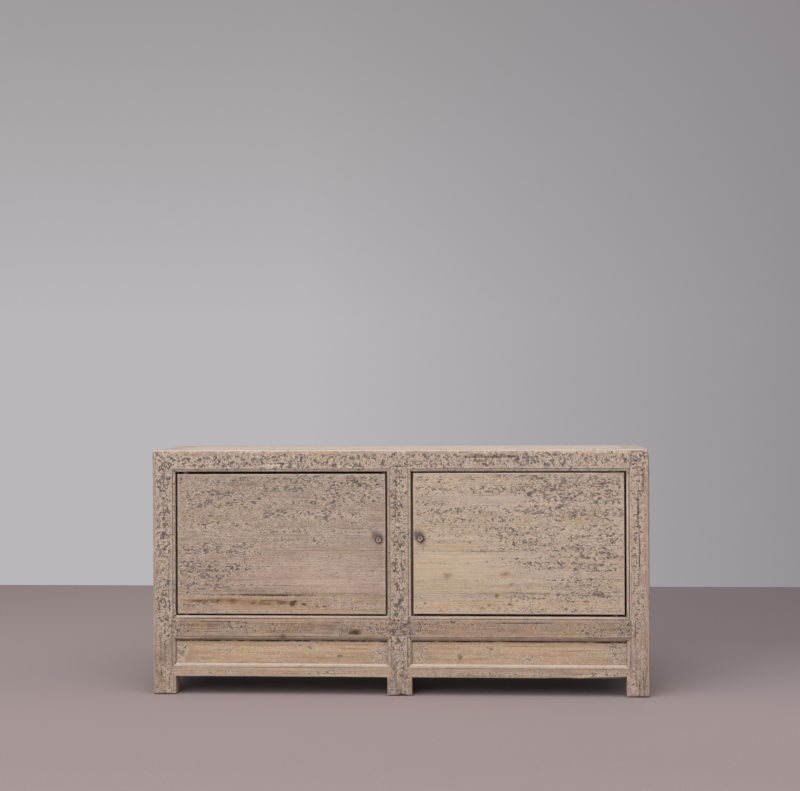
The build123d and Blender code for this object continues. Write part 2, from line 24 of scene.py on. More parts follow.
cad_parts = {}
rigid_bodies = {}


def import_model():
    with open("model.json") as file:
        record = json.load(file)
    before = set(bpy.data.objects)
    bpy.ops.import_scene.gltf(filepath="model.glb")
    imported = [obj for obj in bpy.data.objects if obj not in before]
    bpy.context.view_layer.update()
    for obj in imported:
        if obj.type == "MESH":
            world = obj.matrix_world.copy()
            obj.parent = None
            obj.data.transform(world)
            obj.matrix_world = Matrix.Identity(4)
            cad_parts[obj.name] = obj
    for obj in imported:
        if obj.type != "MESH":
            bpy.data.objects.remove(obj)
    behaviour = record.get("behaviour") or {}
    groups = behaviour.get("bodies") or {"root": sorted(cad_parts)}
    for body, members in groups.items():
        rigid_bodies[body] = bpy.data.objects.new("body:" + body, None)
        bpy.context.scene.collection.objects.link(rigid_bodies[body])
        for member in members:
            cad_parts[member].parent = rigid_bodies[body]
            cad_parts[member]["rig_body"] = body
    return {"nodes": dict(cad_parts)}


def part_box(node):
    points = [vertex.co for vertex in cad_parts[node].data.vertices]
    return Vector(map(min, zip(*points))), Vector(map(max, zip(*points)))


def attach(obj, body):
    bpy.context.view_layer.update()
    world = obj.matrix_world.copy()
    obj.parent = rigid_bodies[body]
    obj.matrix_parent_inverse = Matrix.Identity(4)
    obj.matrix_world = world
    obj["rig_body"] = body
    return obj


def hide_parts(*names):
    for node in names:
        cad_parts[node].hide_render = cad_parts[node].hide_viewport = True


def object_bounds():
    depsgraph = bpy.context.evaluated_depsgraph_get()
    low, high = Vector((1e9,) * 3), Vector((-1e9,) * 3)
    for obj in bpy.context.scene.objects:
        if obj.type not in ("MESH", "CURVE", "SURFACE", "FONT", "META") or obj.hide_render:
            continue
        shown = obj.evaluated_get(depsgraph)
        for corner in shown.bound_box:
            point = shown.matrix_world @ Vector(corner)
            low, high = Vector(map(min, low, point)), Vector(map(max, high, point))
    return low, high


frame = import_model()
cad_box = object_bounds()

nodes = frame["nodes"]

# %% [markdown]
# ## The camera
#
# A piece of furniture is best judged through a long lens from a few metres away, because a
# short lens makes the near edges swell. The camera stands a little to the right of the middle,
# just above the height of the top, so that the top shows as a thin bright strip.

# %% Camera
camera_place = (0.2738, -4.49195, 0.7816)
camera_turn = (90.035, 0.249, 3.586)        # degrees about x, y and z
lens_length, sensor_width = 74.35, 36.0     # millimetres
sight = 60.0                                # metres, well past the ends of the floor

camera = bpy.data.objects.new("camera", bpy.data.cameras.new("camera"))
bpy.context.scene.collection.objects.link(camera)
camera.location = camera_place
camera.rotation_euler = [math.radians(angle) for angle in camera_turn]
camera.data.sensor_width = sensor_width
camera.data.lens = lens_length
camera.data.clip_end = sight
bpy.context.scene.camera = camera
print("camera", camera_place, "lens", lens_length)

# %% [markdown]
# ## A short language for materials
#
# Old timber needs a hundred shader nodes and more, and each piece of it needs them a little
# differently. Drawing them by hand for fifty pieces would be slow and full of slips. So each
# material is written as a recipe: a method below adds a node or two, connects them, and hands
# back the result, and a recipe reads like the steps of a painter. The same steps paint the room
# that is seen behind the cabinet.
#
# Colours are written as a screen shows them, from 0 to 255, and turned into the linear values
# that light is mixed with.

# %% Colours and recipes
def colour(red, green, blue):
    return (*(((c / 255 + 0.055) / 1.055) ** 2.4 for c in (red, green, blue)), 1.0)


class Recipe:
    """The look of a material, or of the world, as a chain of steps."""

    def __init__(self, owner):
        owner.use_nodes = True
        self.owner = owner
        self.tree = owner.node_tree

    def fill(self, socket, value):
        if isinstance(value, bpy.types.NodeSocket):
            self.tree.links.new(value, socket)
        else:
            socket.default_value = value

    def step(self, kind, fills, **settings):
        added = self.tree.nodes.new("ShaderNode" + kind)
        for key, value in settings.items():
            setattr(added, key, value)
        for socket, value in fills.items():
            self.fill(added.inputs[socket], value)
        return added

    def work(self, way, first, second=0.0):
        return self.step("Math", {0: first, 1: second}, operation=way).outputs[0]

    def times(self, first, second):
        return self.work("MULTIPLY", first, second)

    def move(self, way, at, by):
        return self.step("VectorMath", {0: at, 1: by}, operation=way).outputs[0]

    def noise(self, at, scale, detail=2.0, rough=0.5, twist=0.0):
        fills = {"Vector": at, "Scale": scale, "Detail": detail, "Roughness": rough,
                 "Distortion": twist}
        return self.step("TexNoise", fills).outputs[0]

    def grainy(self, grain, along, across, detail=3.0, rough=0.6):
        """Noise in streaks, with so many changes a metre along the grain and across it."""
        return self.noise(self.move("MULTIPLY", grain, (along, across, across)), 1.0, detail, rough)

    def between(self, value, low, high, to_low=0.0, to_high=1.0, smooth=True):
        fills = {0: value, 1: low, 2: high, 3: to_low, 4: to_high}
        way = "SMOOTHSTEP" if smooth else "LINEAR"
        return self.step("MapRange", fills, interpolation_type=way).outputs[0]

    def mix(self, amount, first, second):
        fills = {0: amount, 6: first, 7: second}
        return self.step("Mix", fills, data_type="RGBA", blend_type="MIX").outputs[2]

    def layer(self, below, shade, pattern, low, high, strength=1.0):
        """Lays a shade over what is below, where the pattern goes from low to high."""
        return self.mix(self.between(pattern, low, high, 0.0, strength), below, shade)

    def spot(self, at, middle, size):
        """1 at the middle of an egg-shaped spot, falling to 0 at its rim."""
        fills = {"Vector": at, "Location": middle, "Scale": size}
        local = self.step("Mapping", fills, vector_type="TEXTURE").outputs[0]
        return self.step("TexGradient", {"Vector": local}, gradient_type="SPHERICAL").outputs[1]

    def surface(self, base, rough, gloss=0.5, bump=None):
        """Joins the last steps to the material's surface, and hands back the material."""
        shader = next(n for n in self.tree.nodes if n.type == "BSDF_PRINCIPLED")
        self.fill(shader.inputs["Base Color"], base)
        self.fill(shader.inputs["Roughness"], rough)
        self.fill(shader.inputs["Specular IOR Level"], gloss)
        if bump is not None:
            self.fill(shader.inputs["Normal"], bump.outputs[0])
        return self.owner


print("a recipe's steps:", [name for name in vars(Recipe) if not name.startswith("_")])

# %% [markdown]
# ## The floor and the light
#
# The cabinet stands on a floor of a dull mauve grey, with a grey wall behind it. Both carry painted
# light and shade: far back, the floor is painted lighter on the left and darker on the right, and
# the wall is painted darker towards the right and high up. The floor is also a little darker
# towards the viewer. The wall is only a colour that the camera and gloss see, so that it throws no
# light on the object and does not stand in the way when the camera walks round to the back.
#
# The light is a large soft one from above, a little to the front and the left, as under a
# skylight, with a window in front. It makes the top bright and the front calm, and leaves the
# space below the rails nearly black. Two weaker lamps, one on the right and one behind, and a
# little light from all round keep the other sides readable.

# %% Floor
floor_width, floor_reach = 40.0, 20.0      # the reach is from the cabinet towards the viewer
wall_foot = 2.31                           # how far behind the cabinet the floor ends

bpy.ops.object.select_all(action="DESELECT")
bpy.ops.mesh.primitive_plane_add(size=1.0)
floor = bpy.context.object
floor.name = "floor"
floor.scale = (floor_width, floor_reach + wall_foot, 1.0)
floor.location = (0.0, (wall_foot - floor_reach) / 2, 0.0)
bpy.ops.object.transform_apply(location=True, rotation=False, scale=True)
print("floor", tuple(round(v, 2) for v in floor.dimensions))

# %% Colour of the floor
# Painted light and shade: far back the floor is lighter on the left and darker on the right, and near the
# viewer it is a little darker.
floor_colour, floor_near_colour = colour(156, 142, 142), colour(151, 137, 137)
floor_left_lit_colour, floor_right_shaded_colour = colour(165, 150, 149), colour(134, 122, 123)
floor_rim_colour = colour(228, 217, 215)
black = (0.0, 0.0, 0.0, 1.0)

weave = Recipe(bpy.data.materials.new("floor_weave"))
place = weave.step("TexCoord", {}).outputs["Object"]
across, depth, _ = weave.step("SeparateXYZ", {0: place}).outputs
away = weave.step("VectorMath", {0: place}, operation="LENGTH").outputs["Value"]
far = weave.layer(floor_left_lit_colour, floor_right_shaded_colour, across, -1.6, 1.6)
ground = weave.layer(floor_colour, far, depth, -0.3, 1.0)
ground = weave.layer(ground, floor_near_colour, depth, -0.4, -1.1)
ground = weave.layer(ground, floor_rim_colour, away, 3.0, 9.0)
shadowed = weave.mix(0.1, ground, black)
ground = weave.layer(shadowed, ground, weave.noise(place, 260.0, 3.0, 0.7), 0.3, 0.7)
floor.data.materials.append(weave.surface(ground, rough=0.95, gloss=0.1))
print("steps in the floor's look:", len(weave.tree.nodes))

# %% Lamps
def soft_light(name, place, size, power, look_at=(0.0, 0.0, 0.3)):
    """A rectangular lamp that faces the cabinet. Its power is in watts."""
    lamp = bpy.data.lights.new(name, "AREA")
    lamp.shape = "RECTANGLE"
    lamp.size, lamp.size_y = size
    lamp.energy = power
    stand = bpy.data.objects.new(name, lamp)
    bpy.context.scene.collection.objects.link(stand)
    stand.location = place
    aim = Vector([end - start for end, start in zip(look_at, stand.location)])
    stand.rotation_euler = aim.to_track_quat("-Z", "Y").to_euler()


soft_light("skylight", (-0.4, -1.8, 3.4), (4.2, 3.2), 118.0)
soft_light("window", (-1.4, -4.6, 2.0), (3.0, 2.4), 92.0)
soft_light("far_window", (4.2, -1.2, 1.8), (2.6, 2.0), 30.0)
soft_light("passage", (0.5, 4.4, 1.5), (3.0, 1.8), 26.0)
bpy.context.scene.view_settings.view_transform = "Standard"

# %% The room all round
# Painted shade: the wall seen behind is darker high up and towards the right.
wall_colour, wall_high_shaded_colour = colour(185, 183, 186), colour(158, 153, 154)
wall_right_shaded_colour = colour(138, 132, 137)
fill_colour, fill_strength = (1.0, 0.985, 0.97, 1.0), 0.37

world = bpy.data.worlds.new("room")
bpy.context.scene.world = world
room = Recipe(world)
room.tree.nodes.clear()
heading = room.step("TexCoord", {}).outputs["Generated"]
sideways, _, upward = room.step("SeparateXYZ", {0: heading}).outputs
high_up = room.between(upward, 0.045, 0.25, smooth=False)
to_the_right = room.between(sideways, -0.12, 0.26, smooth=False)
wall = room.mix(high_up, wall_colour, wall_high_shaded_colour)
wall = room.mix(to_the_right, wall, wall_right_shaded_colour)
rays = room.step("LightPath", {}).outputs
looked_at = room.work("MAXIMUM", rays["Is Camera Ray"], rays["Is Glossy Ray"])
fill_light = room.step("Background", {"Color": fill_colour, "Strength": fill_strength}).outputs[0]
seen_wall = room.step("Background", {"Color": wall}).outputs[0]
either = room.step("MixShader", {0: looked_at, 1: fill_light, 2: seen_wall}).outputs[0]
room.step("OutputWorld", {0: either})
print("steps in the room's look:", len(room.tree.nodes))

# %% [markdown]
# ## Worn copies of the frame's pieces
#
# The engineering pieces have dead straight edges. On the real cabinet no edge is straight: the
# arrises are rubbed down unevenly, the faces are scraped by hand, and the wood has shrunk a
# little in its joints. So each piece is copied, its triangles are joined into one skin and its
# flat parts into whole faces, and the skin is cut into short lengths that can bend.
#
# Cutting with planes keeps every joint and bead exactly where it is. A remesh would have been
# quicker to write, but it melts the thin quirk lines beside the beads.
#
# Thick timber splits along its grain as it dries. Each split has an x and a z on the front face,
# half its length and half its width in millimetres, and a lean in degrees from the upright.
# Here only its three lines are cut. It is opened further down, once the edges are measured.

# %% Where the splits are
Split = namedtuple("Split", "x z half_length half_width lean")

split_rows = {
    "leg_front_right": (
        (620.5, 500, 60, 0.5, 0.6), (623.0, 392, 62, 0.6, -0.5), (634.0, 560, 34, 0.5, 1.5),
        (612.0, 170, 30, 0.5, 0.0), (636.0, 30, 34, 0.6, 2.0)),
    "leg_front_left": (
        (-622.0, 470, 40, 0.6, 0.5), (-609.0, 300, 52, 0.6, -0.6), (-630.0, 120, 46, 0.6, 0.4)),
    "centre_leg": ((3.0, 4, 30, 1.8, 3.0), (-12.0, 60, 30, 0.6, -1.0)),
    "centre_stile": ((-8.0, 500, 50, 0.6, 0.5), (7.0, 330, 44, 0.6, -0.6)),
    "middle_rail_front": ((330, 190.0, 70, 0.5, 89.7), (-480, 190.5, 50, 0.5, 90.3)),
    "top_rail_front": ((-300, 606.0, 60, 0.6, 90.3), (240, 622.0, 70, 0.6, 89.7)),
    "lower_rail_front_left": ((-180, 56.0, 60, 0.5, 89.7),),
    "lower_rail_front_right": ((470, 57.0, 60, 0.6, 89.4),),
    "door_left_board_bottom": ((-300, 246.0, 90, 0.6, 90.2),),
}
splits = {node: [Split(*row) for row in rows] for node, rows in split_rows.items()}


def split_frame(split):
    """The directions across and along a split on the front, as pairs of x and z."""
    turn = math.radians(split.lean)
    return (math.cos(turn), -math.sin(turn)), (math.sin(turn), math.cos(turn))


print("splits:", sum(len(rows) for rows in splits.values()), "in", len(splits), "pieces")

# %% Copy a piece and cut it into short lengths
arris_cuts = (0.0015, 0.0036)      # the first cuts lie this far inside a piece's outer faces
same_point = 1e-5                  # corners closer than this are one
flat_angle = math.radians(0.3)     # triangles that turn less than this are one face


def only(piece):
    bpy.ops.object.select_all(action="DESELECT")
    piece.select_set(True)
    bpy.context.view_layer.objects.active = piece


def cut_places(low, high, cell):
    count = max(1, round((high - low) / cell))
    inner = [low + (high - low) * n / count for n in range(1, count)]
    return [*(low + cut for cut in arris_cuts), *inner, *(high - cut for cut in arris_cuts)]


def slice_at(place, direction):
    bpy.ops.mesh.select_all(action="SELECT")
    bpy.ops.mesh.bisect(plane_co=place, plane_no=direction)


def cut_split(split):
    """Cuts the middle line of a split and its two sides, right through the piece."""
    (x_across, z_across), _ = split_frame(split)
    for side in (-1, 0, 1):
        x = split.x / 1000 + side * split.half_width / 1000 * x_across
        z = split.z / 1000 + side * split.half_width / 1000 * z_across
        slice_at((x, 0.0, z), (x_across, 0.0, z_across))


def sliced_copy(node, cells):
    """A copy of a node's skin, cut every so often along x, y and z, with its splits."""
    piece = bpy.data.objects.new(node + "_worn", nodes[node].data.copy())
    bpy.context.scene.collection.objects.link(piece)
    only(piece)
    bpy.ops.object.mode_set(mode="EDIT")
    bpy.ops.mesh.select_all(action="SELECT")
    bpy.ops.mesh.remove_doubles(threshold=same_point)
    bpy.ops.mesh.select_all(action="SELECT")
    bpy.ops.mesh.dissolve_limited(angle_limit=flat_angle)
    low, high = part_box(node)
    for axis in range(3):
        normal = [float(axis == n) for n in range(3)]
        for place in cut_places(low[axis], high[axis], cells[axis]):
            slice_at([place * n for n in normal], normal)
    for split in splits.get(node, ()):
        cut_split(split)
    bpy.ops.mesh.select_all(action="SELECT")
    bpy.ops.mesh.quads_convert_to_tris(quad_method="SHORTEST_DIAGONAL", ngon_method="BEAUTY")
    bpy.ops.object.mode_set(mode="OBJECT")
    piece.data.materials.clear()
    return piece


print("cuts across a 60 mm post:", [round(p, 4) for p in cut_places(0, 0.06, 0.012)])

# %% [markdown]
# ## Where a piece is worn, and where it gets dirt and painted shade
#
# Hands, brooms and sandpaper reach the edges that stand out, and dirt stays in the corners that
# lie in, which are also painted darker as shade. Both follow from how the skin bends: an edge that
# bends outwards is worn, one that bends inwards gets dirt and painted shade. The bend of each
# point is measured from the triangles round it, and kept on the mesh as the attribute "wear",
# from 1 on a sharp edge, through 0 on a flat face, to -1 in a hollow. The same number says how
# strongly the dents below may bite.

# %% Measure the bend of the skin
full_wear_radius = 0.0045      # an edge rounded as tightly as this counts as fully worn


def numbers(group, name, width, kind):
    out = np.empty(len(group) * width, kind)
    group.foreach_get(name, out)
    return out.reshape(-1, width) if width > 1 else out


def bend_of_points(mesh):
    """How much the surface bends at each point, per metre, outwards positive."""
    points = numbers(mesh.vertices, "co", 3, np.float32).astype(float)
    corners = numbers(mesh.loops, "vertex_index", 1, np.int32).reshape(-1, 3)
    sides = numbers(mesh.loops, "edge_index", 1, np.int32)
    a, b, c = (points[corners[:, n]] for n in range(3))
    normal = np.cross(b - a, c - a)
    double_area = np.linalg.norm(normal, axis=1)
    normal /= np.maximum(double_area, 1e-14)[:, None]
    middle = (a + b + c) / 3
    order = np.argsort(sides, kind="stable")
    one, two = order[0::2] // 3, order[1::2] // 3
    ends = numbers(mesh.edges, "vertices", 2, np.int32)[sides[order[0::2]]]
    turn = np.arccos(np.clip((normal[one] * normal[two]).sum(1), -1, 1))
    outward = ((middle[two] - middle[one]) * normal[one]).sum(1) < 0
    length = np.linalg.norm(points[ends[:, 0]] - points[ends[:, 1]], axis=1)
    share = np.where(outward, 1, -1) * turn * length / 2
    total, area = np.zeros(len(points)), np.zeros(len(points))
    for n in range(2):
        np.add.at(total, ends[:, n], share)
    for n in range(3):
        np.add.at(area, corners[:, n], double_area / 6)
    return total / np.maximum(area, 1e-10)


print("an edge rounded to", full_wear_radius * 1000, "mm counts as fully worn")

# %% [markdown]
# ## Tight joints and rubbed margins
#
# Where two pieces touch, no hand or broom ever reached, and the joint has to stay closed. So
# each point is tested against the skins of the other pieces: a point that touches one is "shut",
# gets no wear, and is left where it is. Along a free edge the rubbing reaches a little way in
# over the face, and fades out there. That margin is kept as the attribute "rub". A third one,
# "up", is 1 where the skin looks at the sky, for that is where light has bleached it most, and
# where worn edges get a painted highlight. The edges round the doors and panels lie sheltered
# between the legs, and are worn less than the outer ones.

# %% Find the joints
skins = {}
touch_gap = 0.00015      # metres between two pieces that touch


def skin_of(node):
    if node not in skins:
        mesh = nodes[node].data
        skins[node] = BVHTree.FromPolygons([v.co for v in mesh.vertices],
                                           [p.vertices for p in mesh.polygons])
    return skins[node]


def shut_points(piece, node):
    """1 for each point of the piece that touches another piece, else 0."""
    points = numbers(piece.data.vertices, "co", 3, np.float32)
    shut = np.zeros(len(points))
    low, high = points.min(0) - touch_gap, points.max(0) + touch_gap
    for other in nodes:
        start, end = (np.array(corner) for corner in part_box(other))
        if other == node or (start > high).any() or (end < low).any():
            continue
        near = ((points > start - touch_gap) & (points < end + touch_gap)).all(1)
        for n in np.flatnonzero(near):
            if not shut[n] and skin_of(other).find_nearest(points[n], touch_gap)[0] is not None:
                shut[n] = 1.0
    return shut


print("points closer than", touch_gap * 1000, "mm to another piece are shut")

# %% Keep what was found on the mesh
def keep(piece, name, values):
    """Keeps a number for each point, for the shader to read."""
    old = piece.data.attributes.get(name)
    attribute = old or piece.data.attributes.new(name, "FLOAT", "POINT")
    attribute.data.foreach_set("value", values.astype(np.float32))


def keep_group(piece, name, values, steps=8):
    """Keeps a weight for each point, in steps from 0 to 1, for a modifier to read."""
    group = piece.vertex_groups.new(name=name)
    for level in range(1, steps + 1):
        chosen = np.flatnonzero(np.round(values * steps) == level)
        if len(chosen):
            group.add([int(n) for n in chosen], level / steps, "REPLACE")


def rubbed_margin(points, worn, reach):
    """1 beside a worn edge, falling to 0 at this distance from it."""
    chosen = np.flatnonzero(worn)
    tree = KDTree(len(chosen))
    for n in chosen:
        tree.insert(points[n], n)
    tree.balance()
    away = np.array([tree.find(point)[2] for point in points]) if len(chosen) else reach
    return np.clip(1 - away / reach, 0, 1) * np.ones(len(points))


print("half way over a margin of 8 mm:", rubbed_margin([(0, 0, 0), (0.004, 0, 0)], [1, 0], 0.008)[1])

# %% [markdown]
# ## Sheltered edges and faces that sink together
#
# A box inside the cabinet's own box says which edges lie sheltered. They are rubbed a little less
# pale, and hardly cut at all.
#
# The joints between two pieces of one face stay closed, but the faces on both sides of them are
# scraped away a little. So the joint's own points, which are shut, have to sink with the face.
# They are kept as a group for each outer face: left, right, front and top.

# %% Mark the wear of a piece
box_low, box_high = (np.array(corner) for corner in cad_box)
front_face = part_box("centre_stile")[0][1]
shelter_low = box_low + (0.053, 0.0, 0.07)       # from within the legs and the low rails
shelter_high = box_high - (0.053, 0.0, 0.046)    # to within the other legs and the top rail
sheltered_share, sheltered_depth = 0.7, 0.1      # what is left there of the paleness and of the cuts
rubbing_edge, cut_edge = 0.25, 0.6               # how sharp an edge is that rubs pale, or is cut
beside_share = 0.3                               # the strip beside a cut edge is cut by this share
sinking_depth, sinking_slack = 0.0008, 0.0009    # a sinking joint lies about this far inside its face

sinking_faces = ((0, -1), (0, 1), (1, -1), (2, 1))      # left, right, front and top
face_planes = {(axis, side): (box_high if side > 0 else box_low)[axis]
               for axis, side in sinking_faces}
face_planes[1, -1] = front_face      # the knobs stand out further than the frame


def mark_wear(piece, node, reach):
    shut = shut_points(piece, node)
    wear = np.clip(bend_of_points(piece.data) * full_wear_radius, -1, 1) * (1 - shut)
    points = numbers(piece.data.vertices, "co", 3, np.float32)
    inside = ((points > shelter_low) & (points < shelter_high)).all(1)
    bite = np.where(inside, wear * sheltered_depth, wear)
    wear = np.where(inside & (wear > 0), wear * sheltered_share, wear)
    keep(piece, "wear", wear)
    keep(piece, "rub", rubbed_margin(points, wear > rubbing_edge, reach) * (1 - shut))
    keep(piece, "joint", shut)
    keep(piece, "up", numbers(piece.data.vertices, "normal", 3, np.float32)[:, 2])
    keep_group(piece, "free", 1 - shut)
    beside = rubbed_margin(points, bite > cut_edge, arris_cuts[1]) * (1 - shut)
    keep_group(piece, "arris", np.clip(np.maximum(bite, beside_share * beside), 0, 1))
    for axis, side in sinking_faces:
        depth_in = (points[:, axis] - face_planes[axis, side]) * -side
        at_face = shut * (np.abs(depth_in - sinking_depth) < sinking_slack)
        if at_face.any():
            keep_group(piece, f"sink_{axis}_{side}", at_face, steps=1)


print("faces that sink with their joints:", len(sinking_faces))

# %% [markdown]
# ## Dents, ripples and rubbed edges
#
# Three displacements make a straight piece old. A slow one lets the faces wander by a fraction
# of a millimetre, as a hand plane leaves them. A quick one adds small knocks. The third acts on
# the edges alone and rubs them down by up to a millimetre, more in some places than in others.
# All of them only take wood away, so no piece grows into its neighbour.

# %% Tools that take wood away
def clouds(name, size, depth=2, contrast=1.0):
    texture = bpy.data.textures.new(name, "CLOUDS")
    texture.noise_scale = size
    texture.noise_depth = depth
    texture.contrast = contrast
    texture.use_clamp = True
    return texture


slow_clouds = clouds("scraped_faces", 0.07)
quick_clouds = clouds("knocks", 0.012)
edge_clouds = clouds("rubbed_edges", 0.022, 3, contrast=1.6)


def carve(piece, texture, depth, group="", direction="NORMAL"):
    """Takes off up to this depth of wood, where the texture is dark, and applies it."""
    cut = piece.modifiers.new("carve", "DISPLACE")
    cut.texture = texture
    cut.texture_coords = "LOCAL"
    cut.strength = depth
    cut.mid_level = 1.0
    cut.direction = direction
    cut.vertex_group = group
    bpy.ops.object.modifier_apply(modifier=cut.name)


def scrape(piece, texture, depth):
    """Carves the free faces, and sinks the face of each joint as deep as what is beside it."""
    carve(piece, texture, depth, "free")
    for axis, side in sinking_faces:
        if f"sink_{axis}_{side}" in piece.vertex_groups:
            carve(piece, texture, side * depth, f"sink_{axis}_{side}", "XYZ"[axis])


def push_group(piece, name, push):
    """Moves the points of a group, each by its own weight, and removes the group."""
    for axis, distance in zip("XYZ", push):
        if distance:
            dent = piece.modifiers.new("push", "DISPLACE")
            dent.direction, dent.mid_level, dent.strength = axis, 0.0, distance
            dent.vertex_group = name
            bpy.ops.object.modifier_apply(modifier=dent.name)
    piece.vertex_groups.remove(piece.vertex_groups[name])


def stay_inside(piece, node):
    """Brings back any point that the carving has thrown out of the node's box."""
    points = numbers(piece.data.vertices, "co", 3, np.float32)
    inside = np.clip(points, *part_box(node)).astype(np.float32)
    piece.data.vertices.foreach_set("co", inside.ravel())
    piece.data.update()


print("sizes of the clouds:", [round(t.noise_scale, 3) for t in (slow_clouds, quick_clouds, edge_clouds)])

# %% [markdown]
# ## What was knocked off
#
# Some places have lost more wood than that. The two front corners of the top are rounded off,
# the right one most. The feet have rotted and worn unevenly on damp floors, the mitred shoulders
# have lost their points, and the lower edges of the rails were planed or kicked away. Each knock
# has a place, how far it reaches along x, y and z, and how far it pushes the skin in the middle,
# all in millimetres. Its push fades to nothing at the end of its reach.

# %% Knocks
def millimetres(place):
    return round(place * 1000)


right, back, top = (millimetres(side) for side in box_high)
front = millimetres(front_face)
low_rail_foot, low_rail_head = (millimetres(c[2]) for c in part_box("lower_rail_front_right"))
rail_foot, rail_head = (millimetres(c[2]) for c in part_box("middle_rail_front"))
whole_edge = 5000      # a reach that takes in the whole length of an edge

knocks = (
    ((right, front, top), (19, 60, 19), (-5.6, 0.8, -5.4)),
    ((-right, front, top), (12, 30, 10), (1.4, 0.5, -1.6)),
    ((0, front, top), (whole_edge, 5.0, 5.0), (0.0, 1.4, -1.4)),
    ((-620, front, 0), (60, 13, 3.8), (0.0, 1.5, 2.6)),
    ((620, front, 0), (60, 13, 4.2), (0.0, 1.5, 3.0)),
    ((0, front, 0), (50, 13, 3.8), (0.0, 1.5, 2.6)),
    ((5, front, 0), (9, 30, 14), (0.0, 0.6, 3.4)),
    ((-590, front, 0), (10, 16, 9), (-1.2, 0.6, 1.6)),
    ((right, front, 0), (12, 20, 12), (-1.6, 0.6, 1.2)),
    ((-22, front, 0), (8, 12, 9), (1.2, 0.4, 1.0)),
    ((604, front, low_rail_head), (20, 20, 20), (-2.0, 1.5, -2.2)),
    ((right, front, 330), (9, 12, 900), (-3.2, 1.2, 0.0)),
    ((0, front, low_rail_foot), (whole_edge, 16, 16), (0.0, 0.0, 3.0)),
    ((0, front, rail_foot), (whole_edge, 14, 16), (0.0, 0.0, 3.2)),
    ((560, front, low_rail_foot + 3), (100, 16, 20), (0.0, 0.0, 4.0)),
    ((-604, front, low_rail_head), (14, 14, 14), (1.0, 1.0, -1.4)),
    ((596, front, low_rail_foot), (34, 20, 24), (0.0, 1.5, 3.2)),
    ((420, front, low_rail_foot), (50, 20, 20), (0.0, 1.0, 1.6)),
    ((120, front, rail_head), (26, 12, 12), (0.0, 0.8, -1.2)),
    ((-right, front, 380), (10, 10, 40), (0.7, 0.3, 0.0)),
    ((right, front, 250), (10, 10, 60), (-0.9, 0.4, 0.0)),
    ((right, back, top), (20, 26, 20), (-3.0, -3.0, -3.0)),
    ((-right, back, top), (20, 26, 20), (2.0, -2.0, -2.0)),
)


def press(piece):
    """Rounds off what was knocked: a place, how far it reaches and a push, in millimetres."""
    for place, reach, push in knocks:
        points = numbers(piece.data.vertices, "co", 3, np.float32)
        away = np.linalg.norm((points * 1000 - place) / reach, axis=1)
        if away.min() < 1:
            keep_group(piece, "press", np.clip(1 - away, 0, 1), steps=24)
            push_group(piece, "press", [distance / 1000 for distance in push])


print("knocks:", len(knocks), "corner at", (right, front, top))

# %% [markdown]
# ## Opening the splits
#
# The three lines of a split are already cut. Now its middle line is pushed back into the wood,
# deepest half way along, while its two sides stay, which leaves a thin wedge of shade. Its floor
# counts as a hollow, so that it gets dirt and painted shade.

# %% Splits
split_depth = 0.005
on_face, on_line = 0.0008, 0.05      # how near a point is to the face in metres, to a line in mm


def mark_splits(piece, node):
    """Keeps the middle line of each split as a group, strongest half way along it."""
    points = numbers(piece.data.vertices, "co", 3, np.float32)
    at_face = points[:, 1] < points[:, 1].min() + on_face
    depth = np.zeros(len(points))
    for split in splits.get(node, ()):
        across, along = split_frame(split)
        from_middle = points[:, (0, 2)] * 1000 - (split.x, split.z)
        chosen = at_face & (np.abs(from_middle @ across) < on_line)
        lens = 1 - (from_middle @ along / split.half_length) ** 2
        depth = np.where(chosen, np.maximum(depth, np.clip(lens, 0, 1)), depth)
    wear = numbers(piece.data.attributes["wear"].data, "value", 1, np.float32)
    # The split's floor counts as a hollow, and is painted dark with dirt and shade.
    keep(piece, "wear", np.where(depth > 0, -depth, wear))
    keep_group(piece, "split", depth, steps=16)


print("a split is", split_depth * 1000, "mm deep in the middle")

# %% [markdown]
# ## From a straight piece to a worn one
#
# The order matters. The joints and edges are measured while the piece is still straight, then
# the slow wear comes before the quick one, and the knocks and splits go into the worn skin. At
# the end the piece is shaded, tied to the body that it moves with, and stands in for its node.

# %% Wear a piece down
def finish_piece(piece, node, smooth_angle=38.0):
    """Shades the piece, lets it ride on its node's body and stand for its node."""
    bpy.ops.object.shade_smooth_by_angle(angle=math.radians(smooth_angle))
    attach(piece, nodes[node]["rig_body"])
    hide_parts(node)


def worn_piece(node, cells, slow=0.0005, quick=0.00022, edge=0.0008, reach=0.010):
    piece = sliced_copy(node, cells)
    mark_wear(piece, node, reach)
    mark_splits(piece, node)
    scrape(piece, slow_clouds, slow)
    scrape(piece, quick_clouds, quick)
    carve(piece, edge_clouds, edge, "arris")
    press(piece)
    push_group(piece, "split", (0.0, split_depth, 0.0))
    stay_inside(piece, node)
    finish_piece(piece, node)
    return piece


made = {}
print("pieces to make:", len(nodes))

# %% [markdown]
# ## The frame
#
# Four legs run up into mitred corners at the top. The long rail under the doors, the stile
# between them and the low rails lap over their neighbours with small mitred shoulders. They are
# the heaviest sticks of the cabinet and stand out furthest, so they are the most knocked about.

# %% Legs, rails and stiles
def cells_along(grain, length, width):
    """The size of the skin's cells along x, y and z, with their length along the grain."""
    return [length if axis == grain else width for axis in "xyz"]


frame_grain = {f"leg_{row}_{side}": "z" for row in ("front", "back") for side in ("left", "right")}
for rail in ("top_rail", "middle_rail"):
    frame_grain.update({f"{rail}_front": "x", f"{rail}_back": "x"})
    frame_grain.update({f"{rail}_left": "y", f"{rail}_right": "y"})
for side in ("front_left", "front_right", "back"):
    frame_grain[f"lower_rail_{side}"] = "x"
frame_grain.update({"lower_rail_left": "y", "lower_rail_right": "y"})
frame_grain.update({"centre_stile": "z", "centre_leg": "z", "back_stile": "z"})

